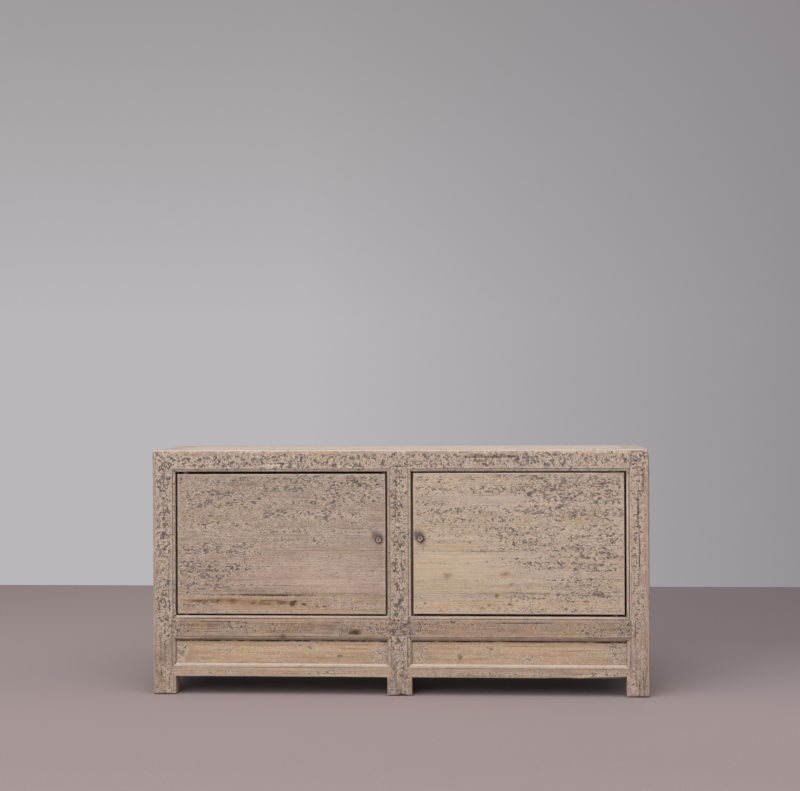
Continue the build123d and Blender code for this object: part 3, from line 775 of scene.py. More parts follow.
for node, grain in frame_grain.items():
    made[node] = worn_piece(node, cells_along(grain, 0.008, 0.012))
print("frame pieces:", len(made))

# %% [markdown]
# ## Boards and panels
#
# The doors are three boards each, glued edge to edge, and their seams have opened a little. The
# boards of the top, the sides, the back and the skirt are thinner and sit in grooves.

# %% Boards
board_grain = {}
for side in ("left", "right"):
    for place in ("top", "middle", "bottom"):
        board_grain[f"door_{side}_board_{place}"] = ("door_timber", "x")
    board_grain[f"skirt_panel_front_{side}"] = ("panel_timber", "x")
    board_grain[f"skirt_panel_{side}"] = ("panel_timber", "y")
    for place in ("front", "back"):
        board_grain[f"side_board_{side}_{place}"] = ("panel_timber", "z")
    for place in ("lower", "upper"):
        board_grain[f"back_board_{side}_{place}"] = ("panel_timber", "x")
for place in ("front", "middle", "back"):
    board_grain[f"top_board_{place}"] = ("top_timber", "x")
    board_grain[f"floor_board_{place}"] = ("inside_timber", "x")
board_grain["skirt_panel_back"] = ("panel_timber", "x")

for node, (slot, grain) in board_grain.items():
    length, width = (0.008, 0.005) if slot == "door_timber" else (0.014, 0.010)
    cells = cells_along(grain, length, width)
    made[node] = worn_piece(node, cells, slow=0.0006, reach=0.007)
print("boards:", len(board_grain))

# %% [markdown]
# ## Timber
#
# Softwood shows three patterns at once: growth rings, which run along a board as long flames
# where the saw cut them flat; fibres, which are fine streaks along the grain; and a slow change
# of tone from one end to the other. Rings are shells round the tree's heart, so they are drawn
# as rings round a line that lies behind the board, bent a little by noise.
#
# Each tone is a pale wood, a warmer one beside it, and the deep colour of its rings and fibres.

# %% Colours of the timber
tones = {
    "door_left": ((170, 150, 137), (168, 144, 125), (122, 102, 88)),
    "door_right": ((196, 178, 162), (192, 171, 148), (154, 132, 112)),
    "frame": ((155, 137, 127), (152, 130, 113), (112, 94, 82)),
    # The right front leg's tone is the frame's timber painted paler, as painted light on that side.
    "frame_right": ((184, 162, 151), (178, 153, 137), (134, 111, 98)),
    "board": ((180, 160, 146), (174, 150, 130), (124, 104, 90)),
    "rail": ((162, 138, 120), (154, 128, 104), (110, 88, 72)),
    "skirt": ((190, 166, 145), (188, 159, 128), (144, 116, 92)),
    "low_rail": ((190, 169, 154), (184, 160, 138), (148, 123, 106)),
    "top": ((194, 181, 172), (188, 172, 160), (160, 144, 133)),
    "inside": ((158, 132, 108), (142, 112, 86), (102, 78, 60)),
}
lacquer_colour, film_colour = colour(68, 60, 61), colour(130, 117, 112)
# The second colour on the next line darkens hollows as dirt and as painted shade, and the hearts of knots.
rubbed_colour, grime_and_shade_colour = colour(198, 180, 167), colour(62, 50, 44)
fleck_colour, knot_colour = colour(206, 187, 169), colour(88, 64, 48)
bleached_colour, crack_colour = colour(194, 182, 174), colour(92, 74, 62)
# The first colour on the next line is a painted highlight on worn edges that look up.
painted_edge_highlight_colour, amber_colour = colour(226, 213, 202), colour(178, 142, 104)
honey_colour, ashen_colour = colour(188, 160, 128), colour(158, 143, 134)

print("tones:", sorted(tones))

# %% Grain
ring_step = 0.314                       # a wave texture of scale 1 has rings this far apart
heart_depth, heart_sway = 0.06, 0.05    # metres from the middle of a piece to its tree's heart


def grain_place(recipe, along, seed):
    """Object coordinates turned so that x runs along the grain, moved by the seed."""
    place = recipe.step("TexCoord", {}).outputs["Object"]
    split = recipe.step("SeparateXYZ", {0: place}).outputs
    order = {"x": "XZY", "y": "YZX", "z": "ZXY"}[along]
    turned = recipe.step("CombineXYZ", {n: split[axis] for n, axis in enumerate(order)})
    shift = [(seed * step) % 7.0 for step in (1.37, 2.11, 0.83)]
    return place, turned.outputs[0], recipe.move("ADD", turned.outputs[0], shift)


def growth_rings(recipe, turned, heart, spacing):
    """0 in the pale early wood, rising to 1 in the dark line that ends each year."""
    from_heart = recipe.move("SUBTRACT", turned, (0.0, *heart))
    long = recipe.move("MULTIPLY", from_heart, (0.09, 1.0, 1.0))
    fills = {"Vector": long, "Scale": ring_step / spacing, "Distortion": 5.0, "Detail": 3.0,
             "Detail Scale": 0.55, "Detail Roughness": 0.55}
    wave = recipe.step("TexWave", fills, wave_type="RINGS", rings_direction="X",
                       wave_profile="SAW").outputs[1]
    return recipe.between(wave, 0.45, 0.97)


def heart_of(node, along, seed):
    """A line behind the piece, seen from its outer face, that its rings run round."""
    low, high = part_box(node)
    order = {"x": (2, 1), "y": (2, 0), "z": (0, 1)}[along]
    across, depth = ((low[n] + high[n]) / 2 for n in order)
    inward = -1 if depth > 0 else 1
    away = heart_depth + heart_depth / 2 * math.cos(seed)
    return across + heart_sway * math.sin(seed * 1.9), depth + inward * away


print("rings 6 mm apart need a wave scale of", round(ring_step / 0.006, 1))

# %% Bare wood
def bare_wood(recipe, grain, rings, tone):
    """Wood without finish: zones, rings, streaks, fibres and fine cracks along the grain."""
    pale, warm, deep = (colour(*shade) for shade in tones[tone])
    zones = recipe.grainy(grain, 2.5, 9.0, 2.0, 0.5)
    bands = recipe.grainy(grain, 1.3, 26.0)
    streaks = recipe.grainy(grain, 2.6, 85.0)
    fibres = recipe.grainy(grain, 9.0, 330.0, 3.0, 0.65)
    cracks = recipe.grainy(grain, 5.0, 190.0, 1.0, 0.5)
    hairs = recipe.grainy(grain, 26.0, 1300.0, 2.0)
    wood = recipe.layer(pale, warm, zones, 0.35, 0.65)
    wood = recipe.layer(wood, honey_colour, bands, 0.5, 0.68, 0.4)
    wood = recipe.layer(wood, ashen_colour, bands, 0.5, 0.32, 0.35)
    wood = recipe.mix(recipe.times(rings, 0.28), wood, deep)
    wood = recipe.layer(wood, deep, streaks, 0.42, 0.7, 0.44)
    wood = recipe.layer(wood, deep, fibres, 0.42, 0.7, 0.55)
    wood = recipe.layer(wood, fleck_colour, fibres, 0.5, 0.3, 0.3)
    wood = recipe.layer(wood, crack_colour, cracks, 0.69, 0.74, 0.5)
    wood = recipe.layer(wood, deep, hairs, 0.48, 0.72, 0.55)
    return wood, fibres, streaks


print("layers of bare wood: zones, bands, rings, streaks, fibres, cracks and hairs")

# %% [markdown]
# ## Marks that are placed one by one
#
# Stains, knots and patches of lacquer each have their own place on the front. They are drawn as
# soft eggs, whose middle and half sizes are given in millimetres, and which go right through the
# piece. A clean egg would look painted on, so the place itself is shaken by a noise first. That
# gives each mark a ragged rim.

# %% Soft eggs with ragged rims
def shaken(recipe, place, scale, amount):
    """The place, moved to and fro by a noise, so that what is drawn there gets a ragged rim."""
    swirl = recipe.step("TexNoise", {"Vector": place, "Scale": scale, "Detail": 3.0}).outputs[1]
    swirl = recipe.move("SUBTRACT", swirl, (0.5, 0.5, 0.5))
    return recipe.move("ADD", place, recipe.move("MULTIPLY", swirl, (amount,) * 3))


def egg(recipe, place, x, z, half_width, half_height):
    """1 in the middle of an egg on the front, falling to 0 at its rim, in millimetres."""
    through = 10.0
    size = (half_width / 1000, through, half_height / 1000)
    return recipe.spot(place, (x / 1000, 0.0, z / 1000), size)


def stained(recipe, wood, place, streaks, stains, wobble=0.012, broken=0.3):
    """Stains are ragged along the grain and broken here and there."""
    if not stains:
        return wood
    place = shaken(recipe, place, 30.0, wobble)
    breaks = recipe.between(recipe.noise(place, 45.0, 3.0, 0.6), 0.36, 0.6, 1.0 - broken, 1.0)
    for x, z, half_width, half_height, strength, shade in stains:
        spot = egg(recipe, place, x, z, half_width, half_height)
        ragged = recipe.times(recipe.between(spot, 0.0, 0.7, 0.0, strength), breaks)
        ragged = recipe.times(ragged, recipe.between(streaks, 0.3, 0.6, 0.35, 1.0))
        wood = recipe.mix(ragged, wood, colour(*shade))
    return wood


def knotted(recipe, wood, place, knots):
    """Knots are dark eggs, longer than high, with a ragged rim and a darker heart."""
    if not knots:
        return wood
    place = shaken(recipe, place, 60.0, 0.02)
    for x, z, radius, strength in knots:
        spot = egg(recipe, place, x, z, radius * 1.6, radius)
        wood = recipe.layer(wood, knot_colour, spot, 0.0, 0.6, strength)
        wood = recipe.layer(wood, grime_and_shade_colour, spot, 0.5, 0.8, strength * 0.7)
    return wood


print("marks: stains, thin lines and knots")

# %% [markdown]
# ## What is left of the lacquer
#
# The finish lies on top of the wood. Scraps of dark lacquer sit in the pores, many in some places
# and none in others. So an amount from 0 to 1 is worked out for each place, and a curly pattern
# shows lacquer wherever its peaks rise above a limit, which falls as the amount rises. Round each
# scrap the wood is creamy, where the scraper took the lacquer off, and between them it is greyed.

# %% How much lacquer is left
def lacquer_amount(recipe, place, grain, base, patches, banding):
    """How much lacquer is left: a base amount, and more or less of it in each patch.

    It varies in bands along the grain, because it held on longer in the harder wood."""
    place = shaken(recipe, place, 11.0, 0.09)
    total = base
    for x, z, half_width, half_height, amount in patches:
        spot = egg(recipe, place, x, z, half_width, half_height)
        total = recipe.work("ADD", total, recipe.between(spot, 0.0, 0.8, 0.0, amount))
    clumps = recipe.noise(place, 46.0, 2.0, 0.5)
    total = recipe.work("ADD", total, recipe.between(clumps, 0.3, 0.7, -0.22, 0.22))
    bands = recipe.grainy(grain, 3.0, 62.0)
    return recipe.work("ADD", total, recipe.between(bands, 0.34, 0.66, -banding, banding))


def behind_face(recipe, place, node):
    """0 on the front of a piece, rising to 1 on its edges and its back, which are bare."""
    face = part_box(node)[0][1]
    depth = recipe.step("SeparateXYZ", {0: place}).outputs["Y"]
    return recipe.between(depth, face + 0.004, face + 0.009)


blot_step = 0.7      # a noise of scale 1 has peaks this far apart


def blots(recipe, place, size, stretch):
    """A curly pattern whose peaks hold lacquer. It runs on over the joints, as a brush does."""
    at = recipe.move("MULTIPLY", place, (1.0 / stretch, 1.0, 1.0))
    return recipe.noise(at, blot_step / size, 2.5, 0.62, 0.25)


print("a blot of 2.5 mm needs a noise of scale", round(blot_step / 0.0025))

# %% Layers of the finish
def filmed(recipe, wood, place, grain, amount, cream, amber):
    """A thin grey film, wood scraped creamy, and places that drank oil and turned to amber."""
    dust = recipe.grainy(grain, 9.0, 26.0)
    film = recipe.times(recipe.between(amount, 0.1, 1.0, 0.0, 0.3),
                        recipe.between(dust, 0.35, 0.65, 0.2, 1.0))
    wood = recipe.mix(film, wood, film_colour)
    scraped = recipe.times(recipe.between(amount, 0.0, 0.6, 0.0, cream * 0.45),
                           recipe.between(recipe.noise(grain, 95.0, 3.0, 0.6), 0.42, 0.66))
    wood = recipe.mix(scraped, wood, fleck_colour)
    return recipe.layer(wood, amber_colour, recipe.noise(place, 34.0, 3.0, 0.6), 0.5, 0.68, amber)


def lacquered(recipe, wood, place, grain, amount, blot, stretch, cream, dark):
    """Blots of lacquer with creamy rims, and fine dots of it in the pores."""
    pattern, pores = (blots(recipe, place, size, stretch) for size in (blot, blot * 0.6))
    limit = recipe.between(amount, 0.0, 1.0, 0.74, 0.48, smooth=False)
    over = recipe.work("SUBTRACT", pattern, limit)
    flecks = recipe.times(recipe.between(over, -0.17, -0.06),
                          recipe.between(amount, -0.2, 0.9, 0.0, cream))
    wood = recipe.mix(flecks, wood, fleck_colour)
    thick = recipe.between(recipe.noise(grain, 70.0, 2.0), 0.35, 0.65, 0.65, 1.0)
    cover = recipe.times(recipe.between(over, -0.01, 0.035), thick)
    fine = recipe.times(recipe.between(pores, 0.57, 0.66),
                        recipe.between(amount, -0.5, 0.6, 0.15, 0.85))
    lacquer = recipe.work("MAXIMUM", cover, fine)
    return recipe.mix(recipe.times(lacquer, dark), wood, lacquer_colour), lacquer, flecks


def handled(recipe, wood, marks, grimy):
    """Edges rubbed pale, with a painted highlight where they look up, dirt in joints, and dirt and painted
    shade in hollows.
    """
    worn = recipe.between(marks["wear"], 0.15, 0.8)
    # Hollows are darkened, as dirt and as painted shade.
    hollow_dirt_and_shade = recipe.between(marks["wear"], -0.1, -0.6)
    wood = recipe.mix(recipe.times(worn, 0.35), wood, rubbed_colour)
    # Painted highlight: worn edges that look up are turned paler still.
    painted_highlight = recipe.times(worn, recipe.between(marks["up"], 0.3, 0.6, 0.0, 0.1))
    wood = recipe.mix(painted_highlight, wood, painted_edge_highlight_colour)
    in_joint = recipe.between(marks["joint"], 0.8, 1.0, 0.0, 0.1)
    grime_and_shade = recipe.work("MAXIMUM", recipe.times(hollow_dirt_and_shade, grimy), in_joint)
    return recipe.mix(grime_and_shade, wood, grime_and_shade_colour)


def raised_grain(recipe, fibres, rings, lacquer, flecks):
    """Fibres, rings and creamy rims stand up, and old lacquer lies in the pores between them."""
    relief = recipe.work("ADD", recipe.times(fibres, 0.5), recipe.times(rings, 0.35))
    relief = recipe.work("SUBTRACT", relief, recipe.times(lacquer, 0.5))
    relief = recipe.work("ADD", relief, recipe.times(flecks, 0.4))
    return recipe.step("Bump", {"Height": relief, "Strength": 0.7, "Distance": 0.0009})


print("layers of the finish: film, cream, amber, flecks, lacquer, rubbed edges and grime")

# %% [markdown]
# ## A whole piece of timber
#
# Now the layers are laid in the order in which they came about: the wood, its stains, the bleach
# on what looks up, the lacquer, the thin dark lines, the knots, which show through everything,
# and last the rubbing and the dirt, with painted shade in the hollows and a painted highlight on
# worn edges that look up. Every value after the tone has a default, so a plain piece needs only
# its name, its grain, its seed and its tone.

# %% Timber
gloss, lacquer_roughness, wood_roughness = 0.28, 0.62, 0.86


def timber(name, node, along, seed, tone, base=0.0, patches=(), knots=(), stains=(), lines=(),
           spacing=0.006, blot=0.0034, stretch=1.8, cream=0.7, dark=0.85, grimy=0.4, amber=0.1,
           banding=0.12, bleach=0.5, bare_behind=False):
    recipe = Recipe(bpy.data.materials.new(name))
    place, turned, grain = grain_place(recipe, along, seed)
    rings = growth_rings(recipe, turned, heart_of(node, along, seed), spacing)
    marks = {mark: recipe.step("Attribute", {}, attribute_name=mark).outputs["Fac"]
             for mark in ("wear", "rub", "joint", "up")}
    ragged = recipe.between(recipe.noise(place, 55.0, 3.0, 0.6), 0.35, 0.62, 0.35, 1.0)
    rubbed = recipe.times(recipe.between(marks["rub"], 0.0, 0.8), ragged)
    amount = lacquer_amount(recipe, place, grain, base, patches, banding)
    amount = recipe.work("SUBTRACT", amount, recipe.times(rubbed, 0.5))
    if bare_behind:
        amount = recipe.work("SUBTRACT", amount, behind_face(recipe, place, node))

    wood, fibres, streaks = bare_wood(recipe, grain, rings, tone)
    wood = stained(recipe, wood, place, streaks, stains)
    wood = recipe.layer(wood, bleached_colour, marks["up"], 0.5, 0.9, bleach)
    wood = filmed(recipe, wood, place, grain, amount, cream, amber)
    wood = recipe.mix(recipe.times(rubbed, 0.3), wood, rubbed_colour)
    wood, lacquer, flecks = lacquered(recipe, wood, place, grain, amount, blot, stretch, cream, dark)
    # On the skirt panels these lines include a painted shadow under the middle rail.
    wood = stained(recipe, wood, place, streaks, lines, wobble=0.005, broken=0.75)
    wood = knotted(recipe, wood, place, knots)
    # Rubbed edges, dirt in joints, dirt and painted shade in hollows, and a painted highlight on edges
    # that look up.
    wood = handled(recipe, wood, marks, grimy)

    rough = recipe.between(lacquer, 0.0, 1.0, wood_roughness, lacquer_roughness)
    rough = recipe.work("ADD", rough, recipe.between(fibres, 0.3, 0.7, -0.06, 0.06))
    return recipe.surface(wood, rough, gloss, raised_grain(recipe, fibres, rings, lacquer, flecks))


print("roughness from", lacquer_roughness, "on lacquer to", wood_roughness, "on bare wood")

# %% [markdown]
# ## Which finish each piece has
#
# The doors were handled most. Lacquer is left along their tops and down their hinge sides,
# where nobody touched them, and the wood round the knobs and low down in the middle is clean.
# The bottom boards are a yellower wood, with brown stains.
#
# A patch of lacquer is an x and a z in millimetres, a half width, a half height and an amount.
# A stain has a strength and a colour in place of the amount. A knot has a radius and a strength.

# %% Lacquer and knots of the doors
door_patches = {
    "left": ((-310, 560, 620, 110, 0.42), (-290, 560, 90, 60, 0.25), (-120, 545, 150, 80, 0.25),
             (-480, 462, 240, 110, 0.30), (-240, 440, 240, 70, 0.30), (-490, 352, 200, 90, 0.45),
             (-520, 275, 160, 100, 0.32), (-140, 330, 330, 130, -0.22),
             (-130, 400, 150, 60, -0.15)),
    "right": ((310, 560, 620, 110, 0.36), (450, 560, 230, 90, 0.22), (215, 460, 100, 90, 0.26),
              (305, 458, 110, 90, 0.22), (470, 440, 250, 180, 0.38), (314, 376, 140, 70, 0.28),
              (520, 365, 140, 90, 0.3), (105, 455, 120, 80, 0.32), (331, 262, 60, 44, 0.4),
              (455, 285, 110, 60, 0.24), (500, 262, 200, 70, 0.22), (75, 560, 100, 90, 0.2),
              (250, 505, 170, 32, -0.35), (130, 330, 280, 130, -0.4)),
}
door_knots = {
    "left": ((-249, 237, 6, 0.9), (-278, 242, 10, 0.9), (-216, 233, 4, 0.7), (-196, 232, 4, 0.6)),
    "right": ((126, 314, 9, 0.25), (275, 320, 9, 0.3), (292, 292, 7, 0.3), (253, 264, 6, 0.5),
              (288, 240, 6, 0.5), (236, 238, 6, 0.35), (185, 402, 6, 0.3), (215, 228, 7, 0.25)),
}
print("patches on the doors:", [len(rows) for rows in door_patches.values()])

# %% Stains and lines of the doors
door_stains = {
    "left": ((-240, 320, 260, 70, 0.7, (192, 168, 152)), (-130, 290, 200, 40, 0.5, (196, 170, 152)),
             (-130, 400, 160, 100, 0.4, (174, 158, 148)),
             (-500, 440, 240, 120, 0.5, (158, 138, 120)), (-300, 556, 420, 60, 0.8, (132, 116, 106)),
             (-330, 480, 360, 40, 0.4, (150, 133, 120)),
             (-310, 236, 420, 40, 0.55, (180, 148, 112)), (-200, 226, 200, 9, 0.4, (190, 150, 114)),
             (-440, 243, 200, 16, 0.7, (166, 130, 86)), (-440, 432, 180, 10, 0.4, (190, 166, 140)),
             (-200, 470, 200, 9, 0.45, (188, 168, 150)), (-160, 452, 160, 8, 0.4, (148, 128, 114)),
             (-48, 398, 22, 18, 0.9, (198, 178, 162))),
    "right": ((140, 345, 220, 110, 0.5, (202, 182, 152)), (350, 335, 300, 70, 0.4, (188, 172, 158)),
              (250, 506, 260, 34, 0.45, (192, 177, 167)), (310, 240, 420, 38, 0.5, (192, 162, 126)),
              (470, 470, 80, 24, 0.7, (172, 138, 92)), (520, 440, 60, 20, 0.5, (176, 144, 100)),
              (330, 452, 60, 14, 0.4, (180, 152, 112)), (126, 312, 26, 18, 0.5, (178, 146, 106)),
              (277, 318, 26, 16, 0.5, (176, 146, 110)), (110, 236, 60, 16, 0.4, (196, 166, 122)),
              (400, 560, 300, 50, 0.3, (146, 130, 122)),
              (48, 402, 22, 18, 0.9, (204, 184, 168))),
}
door_lines = {
    "left": ((-470, 247, 130, 8, 1.2, (104, 78, 50)), (-400, 242, 180, 7, 1.0, (98, 74, 50)),
             (-320, 242, 70, 8, 1.2, (88, 64, 46)), (-360, 263, 190, 4.5, 1.7, (84, 68, 58)),
             (-200, 266, 200, 3, 0.6, (120, 100, 86)), (-120, 437, 60, 3.5, 0.9, (110, 96, 90)),
             (-90, 380, 120, 3, 0.6, (124, 106, 96)), (-55, 412, 23, 22, 0.95, (100, 86, 80)),
             (-60, 427, 20, 20, 0.8, (108, 97, 92))),
    "right": ((180, 378, 170, 3.5, 0.6, (126, 108, 94)), (310, 268, 300, 3.5, 0.75, (120, 100, 86)),
              (54, 416, 21, 21, 0.95, (100, 86, 80)), (46, 427, 18, 16, 0.8, (106, 96, 92))),
}
door_finish = dict(base=0.3, blot=0.0025, stretch=2.0, cream=0.5, dark=0.86, banding=0.32,
                   bare_behind=True)

finish = {}
for side in ("left", "right"):
    for place in ("top", "middle", "bottom"):
        finish[f"door_{side}_board_{place}"] = dict(
            door_finish, tone=f"door_{side}", patches=door_patches[side], knots=door_knots[side],
            stains=door_stains[side], lines=door_lines[side])
print("door boards with a finish:", len(finish))

# %% Marks on the frame
frame_patches = {
    "leg_front_left": (0.95, ((-620, 80, 150, 140, -0.45), (-647, 330, 12, 500, -0.5))),
    "leg_front_right": (0.66, ((630, 80, 150, 140, -0.25), (647, 300, 14, 500, -0.5),
                               (620, 600, 90, 90, 0.35))),
    "top_rail_front": (0.95, ((-297, 612, 90, 60, 0.15), (400, 612, 140, 60, 0.1),
                              (0, 612, 90, 60, -0.05), (0, 640, 3000, 8, -0.5))),
    "middle_rail_front": (0.22, ((-590, 180, 44, 70, 0.7), (-430, 178, 90, 40, 0.5),
                                 (-118, 170, 100, 60, 0.4), (0, 180, 110, 70, 0.8),
                                 (-310, 172, 70, 40, 0.35), (500, 178, 90, 40, 0.4),
                                 (120, 192, 90, 20, 0.45), (590, 180, 44, 70, 0.6),
                                 (355, 186, 60, 30, 0.3))),
    "centre_stile": (0.92, ((0, 300, 90, 60, -0.1),)),
    "centre_leg": (0.78, ((0, 10, 110, 60, -0.25), (0, 130, 90, 60, 0.25))),
    "lower_rail_front_left": (0.12, ((-480, 58, 130, 20, 0.35), (-220, 54, 150, 16, 0.3))),
    "lower_rail_front_right": (0.2, ((330, 54, 420, 22, 0.35), (540, 62, 90, 30, 0.3))),
}
frame_knots = {"middle_rail_front": ((-118, 165, 12, 0.9), (-305, 155, 9, 0.6))}
frame_lines = {
    "leg_front_right": ((620, 480, 3.5, 90, 0.8, (88, 71, 62)), (623, 360, 3.5, 100, 0.75, (88, 71, 62)),
                        (632, 560, 4, 50, 0.7, (92, 74, 66)), (612, 170, 3, 60, 0.6, (92, 74, 66)),
                        (632, 40, 3, 40, 1.0, (84, 66, 58)), (613, 60, 2.5, 56, 0.8, (92, 72, 62)),
                        (641, 96, 2.5, 60, 0.8, (92, 72, 62)), (622, 22, 3, 30, 0.9, (88, 70, 60))),
    "leg_front_left": ((-628, 50, 3, 45, 0.8, (96, 76, 64)), (-607, 34, 2.5, 30, 0.8, (96, 76, 64)),
                       (-640, 210, 2.5, 80, 0.6, (100, 80, 68)), (-615, 110, 2.5, 50, 0.6, (100, 80, 68))),
    "centre_leg": ((-9, 50, 2.5, 50, 0.8, (84, 68, 58)), (11, 90, 2.5, 40, 0.7, (84, 68, 58)),
                   (-18, 100, 2.5, 40, 0.6, (84, 68, 58))),
}
frame_stains = {
    "leg_front_left": ((-620, 40, 70, 110, 0.8, (138, 116, 101)),
                       (-620, 470, 60, 200, 0.3, (150, 128, 112))),
    "leg_front_right": ((620, 40, 70, 110, 0.6, (142, 118, 106)),),
    "lower_rail_front_right": ((330, 50, 400, 26, 0.8, (136, 110, 93)),),
    "middle_rail_front": (
        (-122, 166, 46, 24, 0.6, (110, 89, 74)), (-280, 196, 300, 8, 0.5, (176, 152, 128)),
        (300, 200, 300, 7, 0.5, (184, 160, 140)), (-140, 172, 90, 26, 0.4, (112, 90, 76)),
        (-490, 183, 60, 16, 0.4, (138, 114, 92)), (300, 176, 340, 34, 0.4, (178, 152, 132)),
        (-310, 174, 80, 20, 0.5, (130, 102, 80)), (112, 196, 30, 6, 0.8, (96, 70, 54)),
        (360, 190, 40, 12, 0.4, (132, 118, 108)), (0, 178, 60, 40, 0.5, (120, 104, 94))),
    "centre_stile": ((0, 226, 60, 34, 0.5, (122, 106, 96)), (0, 400, 60, 300, 0.8, (148, 120, 94))),
    "top_rail_front": ((500, 612, 300, 60, 0.5, (188, 168, 154)), (0, 612, 160, 50, 0.5, (136, 118, 104))),
    "centre_leg": ((0, 130, 60, 60, 0.6, (118, 103, 94)), (0, 40, 60, 90, 1.0, (116, 102, 93))),
}
print("frame pieces with marks of their own:", sorted({*frame_patches, *frame_stains}))

# %% Finish of the frame
# The right front leg gets a paler tone, painted light on that side.
frame_tones = {"middle_rail": "rail", "lower_rail": "low_rail", "centre_leg": "rail",
               "leg_front_right": "frame_right"}
frame_finish = dict(blot=0.0042, stretch=1.0, amber=0.4, dark=0.88)

for node in frame_grain:
    low_down, under_doors = node.startswith("lower_rail"), node.startswith("middle_rail")
    base, patches = frame_patches.get(node, (0.1 if low_down else 0.6, ()))
    tone = next((frame_tones[key] for key in frame_tones if node.startswith(key)), "frame")
    finish[node] = dict(
        frame_finish, tone=tone, base=base, patches=patches, knots=frame_knots.get(node, ()),
        stains=frame_stains.get(node, ()), lines=frame_lines.get(node, ()),
        cream=0.3 if under_doors else 0.65, grimy=0.1 if low_down else 0.35)
print("finishes so far:", len(finish))

# %% [markdown]
# ## Panels, top and inside
#
# The two long panels of the skirt mirror each other, so their marks are listed once, for the
# right one. A heavy dark line along the top of each is painted shadow, cast by the rail above.
# The other boards are plain.

# %% Finish of the panels, the top and the inside
panel_patches = ((575, 110, 40, 60, 0.5), (50, 110, 40, 60, 0.5), (240, 130, 50, 20, 0.3),
                 (340, 100, 60, 12, 0.25))
panel_knots = ((157, 100, 7, 0.5), (236, 122, 6, 0.4))
panel_stains = (
    (570, 112, 40, 60, 0.5, (136, 118, 103)), (50, 112, 40, 60, 0.5, (136, 118, 103)),
    (310, 126, 420, 20, 0.6, (210, 184, 152)), (310, 108, 330, 30, 0.35, (202, 172, 130)),
    (420, 92, 120, 8, 0.4, (196, 150, 100)))
# The first line is painted shadow, cast by the middle rail onto the top of the panel.
panel_lines = (
    (310, 144.5, 2000, 6.5, 2.4, (52, 40, 34)), (450, 117, 70, 3, 0.7, (126, 94, 66)),
    (230, 97, 90, 3, 0.6, (132, 100, 74)), (350, 130, 120, 2.5, 0.6, (128, 98, 72)),
    (130, 122, 60, 2.5, 0.6, (128, 98, 72)))
board_finish = {
    "panel_timber": dict(tone="board", base=0.18, cream=0.35),
    "top_timber": dict(tone="top", base=0.05),
    "inside_timber": dict(tone="inside", bleach=0.1),
}


def on_side(side, rows):
    """Marks that are listed for the right side, moved to the side, which is -1 on the left."""
    return [(side * x, *rest) for x, *rest in rows]


for node, (slot, grain) in board_grain.items():
    if slot in board_finish:
        finish[node] = dict(board_finish[slot])
    if node.startswith("skirt_panel"):
        finish[node]["tone"] = "skirt"
    if node.startswith("skirt_panel_front"):
        side = -1 if node.endswith("left") else 1
        finish[node] = dict(
            tone="skirt", base=0.22, blot=0.0027, patches=on_side(side, panel_patches),
            knots=on_side(side, panel_knots), stains=on_side(side, panel_stains),
            lines=on_side(side, panel_lines))
print("finishes in all:", len(finish))

# %% [markdown]
# ## Every piece gets its timber
#
# The pieces are taken in the order of their names, and each one's number is its seed, so no two
# have the same grain. Their rings are 5 to 7 mm apart.

# %% Timber for every piece
grains = {**frame_grain, **{node: grain for node, (slot, grain) in board_grain.items()}}
narrow_rings, ring_spread, spacings = 0.005, 0.002, 5

for seed, (node, values) in enumerate(sorted(finish.items())):
    spacing = narrow_rings + ring_spread * ((seed * 7) % spacings) / (spacings - 1)
    material = timber(f"{node}_timber", node, grains[node], seed + 1, spacing=spacing, **values)
    made[node].data.materials.append(material)
print("finished pieces:", len(finish))

# %% [markdown]
# ## The hidden pieces
#
# Posts, battens, bearers and the stop strip are seen only when a door stands open. They were
# never lacquered or bleached, so they keep the brown of old raw wood.

# %% Posts, battens, bearers and the stop
upright_names = ("door_left_post", "door_right_post", "door_left_batten", "door_right_batten",
                 "door_stop")

for node in nodes:
    if node in made or node.endswith("knob"):
        continue
    grain = "z" if node in upright_names else "y"
    cells = cells_along(grain, 0.012, 0.010)
    made[node] = worn_piece(node, cells, slow=0.0004, edge=0.0007, reach=0.006)
    material = timber(f"{node}_timber", node, grain, len(made), "inside")
    made[node].data.materials.append(material)
print("pieces so far:", len(made))

# %% [markdown]
# ## The knobs
#
# Each knob is turned from one stick: a foot against the door, a thin neck, and a head with a
# dish in its face, which leaves a ring that fingers have darkened. On a lathe the wood spins and
# the tool draws the profile. Here a disc is extruded step by step towards the viewer, and each
# new ring is scaled to the profile's radius, which comes to the same shape.
#
# The profile lists millimetres from the door's face and the radius there. It starts at the end
# of the shank inside the door and ends at the small hole in the middle of the dish.

# %% Turned knobs
knob_profile = (
    (-16.0, 3.9), (-0.2, 4.0), (0.0, 8.3), (1.0, 8.6), (2.4, 8.4), (3.4, 7.4), (4.8, 6.4), (7.0, 6.2),
    (8.2, 7.2), (9.2, 8.9), (10.2, 9.8), (12.0, 10.3), (14.0, 10.2), (15.6, 9.6), (16.6, 8.5),
    (16.9, 7.4), (16.5, 6.2), (15.6, 5.3), (15.0, 4.2), (14.8, 2.6), (14.7, 1.5), (13.2, 1.2),
)
door_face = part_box("door_left_board_top")[0][1]
knob_facets = 40


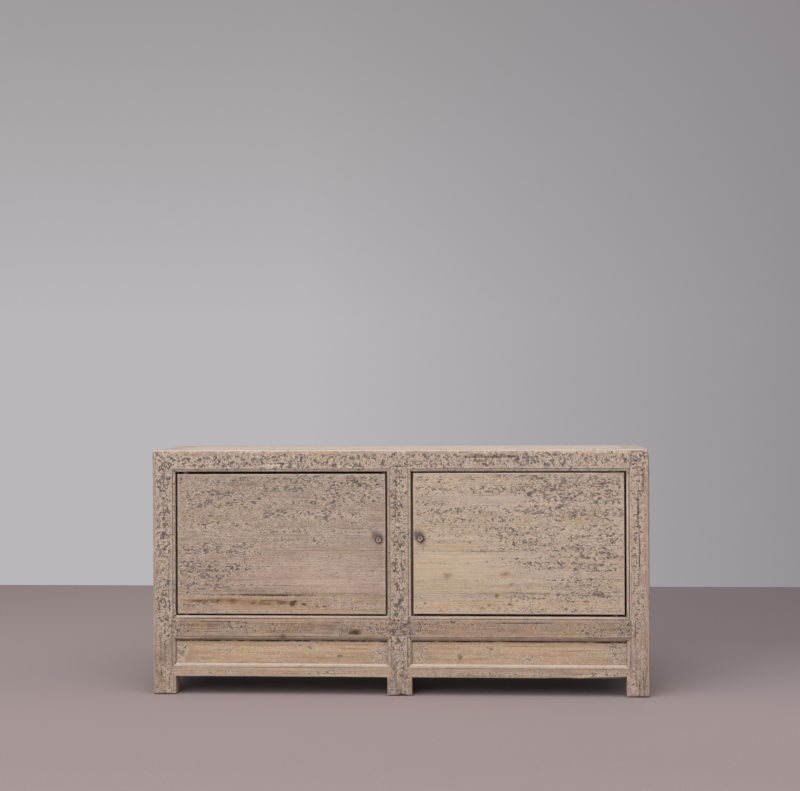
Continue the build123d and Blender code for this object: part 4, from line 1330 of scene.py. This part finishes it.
def turned_knob(node):
    low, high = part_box(node)
    x, z = (low[0] + high[0]) / 2, (low[2] + high[2]) / 2
    reach, radius = (v / 1000 for v in knob_profile[0])
    at = door_face - reach
    bpy.ops.object.select_all(action="DESELECT")
    bpy.ops.mesh.primitive_circle_add(vertices=knob_facets, radius=radius, fill_type="NGON",
                                      location=(x, at, z), rotation=(math.radians(90), 0, 0))
    piece = bpy.context.object
    piece.name = node + "_turned"
    bpy.ops.object.transform_apply(location=True, rotation=True, scale=True)
    bpy.ops.object.mode_set(mode="EDIT")
    bpy.ops.mesh.select_all(action="SELECT")
    for next_reach, next_radius in knob_profile[1:]:
        step = door_face - next_reach / 1000 - at
        at += step
        bpy.ops.mesh.extrude_region_move(TRANSFORM_OT_translate={"value": (0.0, step, 0.0)})
        ratio = next_radius / 1000 / radius
        bpy.ops.transform.resize(value=(ratio, 1.0, ratio), center_override=(x, at, z))
        radius = next_radius / 1000
    bpy.ops.mesh.select_all(action="SELECT")
    bpy.ops.mesh.normals_make_consistent(inside=False)
    bpy.ops.mesh.quads_convert_to_tris()
    bpy.ops.object.mode_set(mode="OBJECT")
    only(piece)
    mark_wear(piece, node, reach=0.002)
    carve(piece, quick_clouds, 0.0003, "free")
    finish_piece(piece, node, smooth_angle=50.0)
    return piece


print("the profile has", len(knob_profile), "rings of", knob_facets, "points")

# %% [markdown]
# ## The knobs' finish
#
# The rim of the head is nearly black from fingers. The small hole in its middle is painted nearly
# black as well, as painted shade. The dish between them is paler. The distance from the knob's axis
# decides which colour shows.

# %% Finish of the knobs
knob_dark_colour, knob_darkest_colour = colour(56, 43, 37), colour(34, 26, 23)
knob_ring_colour, knob_blotch_colour = colour(164, 144, 132), colour(84, 68, 60)
# The hole colour on the next line is painted shade in the small hole of the dish.
knob_hole_shade_colour, knob_worn_colour = colour(40, 31, 27), colour(140, 118, 102)
knob_radius = max(radius for _, radius in knob_profile) / 1000


def knob_finish(name, node, seed):
    recipe = Recipe(bpy.data.materials.new(name))
    place, _, grain = grain_place(recipe, "y", seed)
    low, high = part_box(node)
    middle = ((low[0] + high[0]) / 2, 0.0, (low[2] + high[2]) / 2)
    spot = recipe.spot(place, middle, (knob_radius, 10.0, knob_radius))
    fibres = recipe.grainy(grain, 60.0, 500.0, 3.0, 0.7)
    blotches = recipe.noise(place, 260.0, 3.0, 0.6)
    worn = recipe.step("Attribute", {}, attribute_name="wear").outputs["Fac"]
    wood = recipe.layer(knob_dark_colour, knob_darkest_colour, fibres, 0.35, 0.65)
    wood = recipe.layer(wood, knob_ring_colour, spot, 0.30, 0.37)
    wood = recipe.layer(wood, knob_blotch_colour, blotches, 0.42, 0.6, 0.65)
    # Painted shade: the small hole in the middle of the dish is painted nearly black.
    wood = recipe.layer(wood, knob_hole_shade_colour, spot, 0.74, 0.84)
    wood = recipe.layer(wood, knob_worn_colour, worn, 0.5, 1.0, 0.3)
    bump = recipe.step("Bump", {"Height": fibres, "Strength": 0.4, "Distance": 0.0004})
    return recipe.surface(wood, recipe.between(blotches, 0.3, 0.7, 0.5, 0.75), bump=bump)


for seed, side in enumerate(("left", "right")):
    node = f"door_{side}_knob"
    made[node] = turned_knob(node)
    made[node].data.materials.append(knob_finish(f"{node}_timber", node, seed + 3))
    print(node, tuple(round(v * 1000, 1) for v in made[node].dimensions))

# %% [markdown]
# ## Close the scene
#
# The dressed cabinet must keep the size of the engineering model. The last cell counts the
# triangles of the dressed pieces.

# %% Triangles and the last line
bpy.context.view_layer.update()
triangles = sum(len(p.data.polygons) for p in made.values())
print("triangles:", triangles)
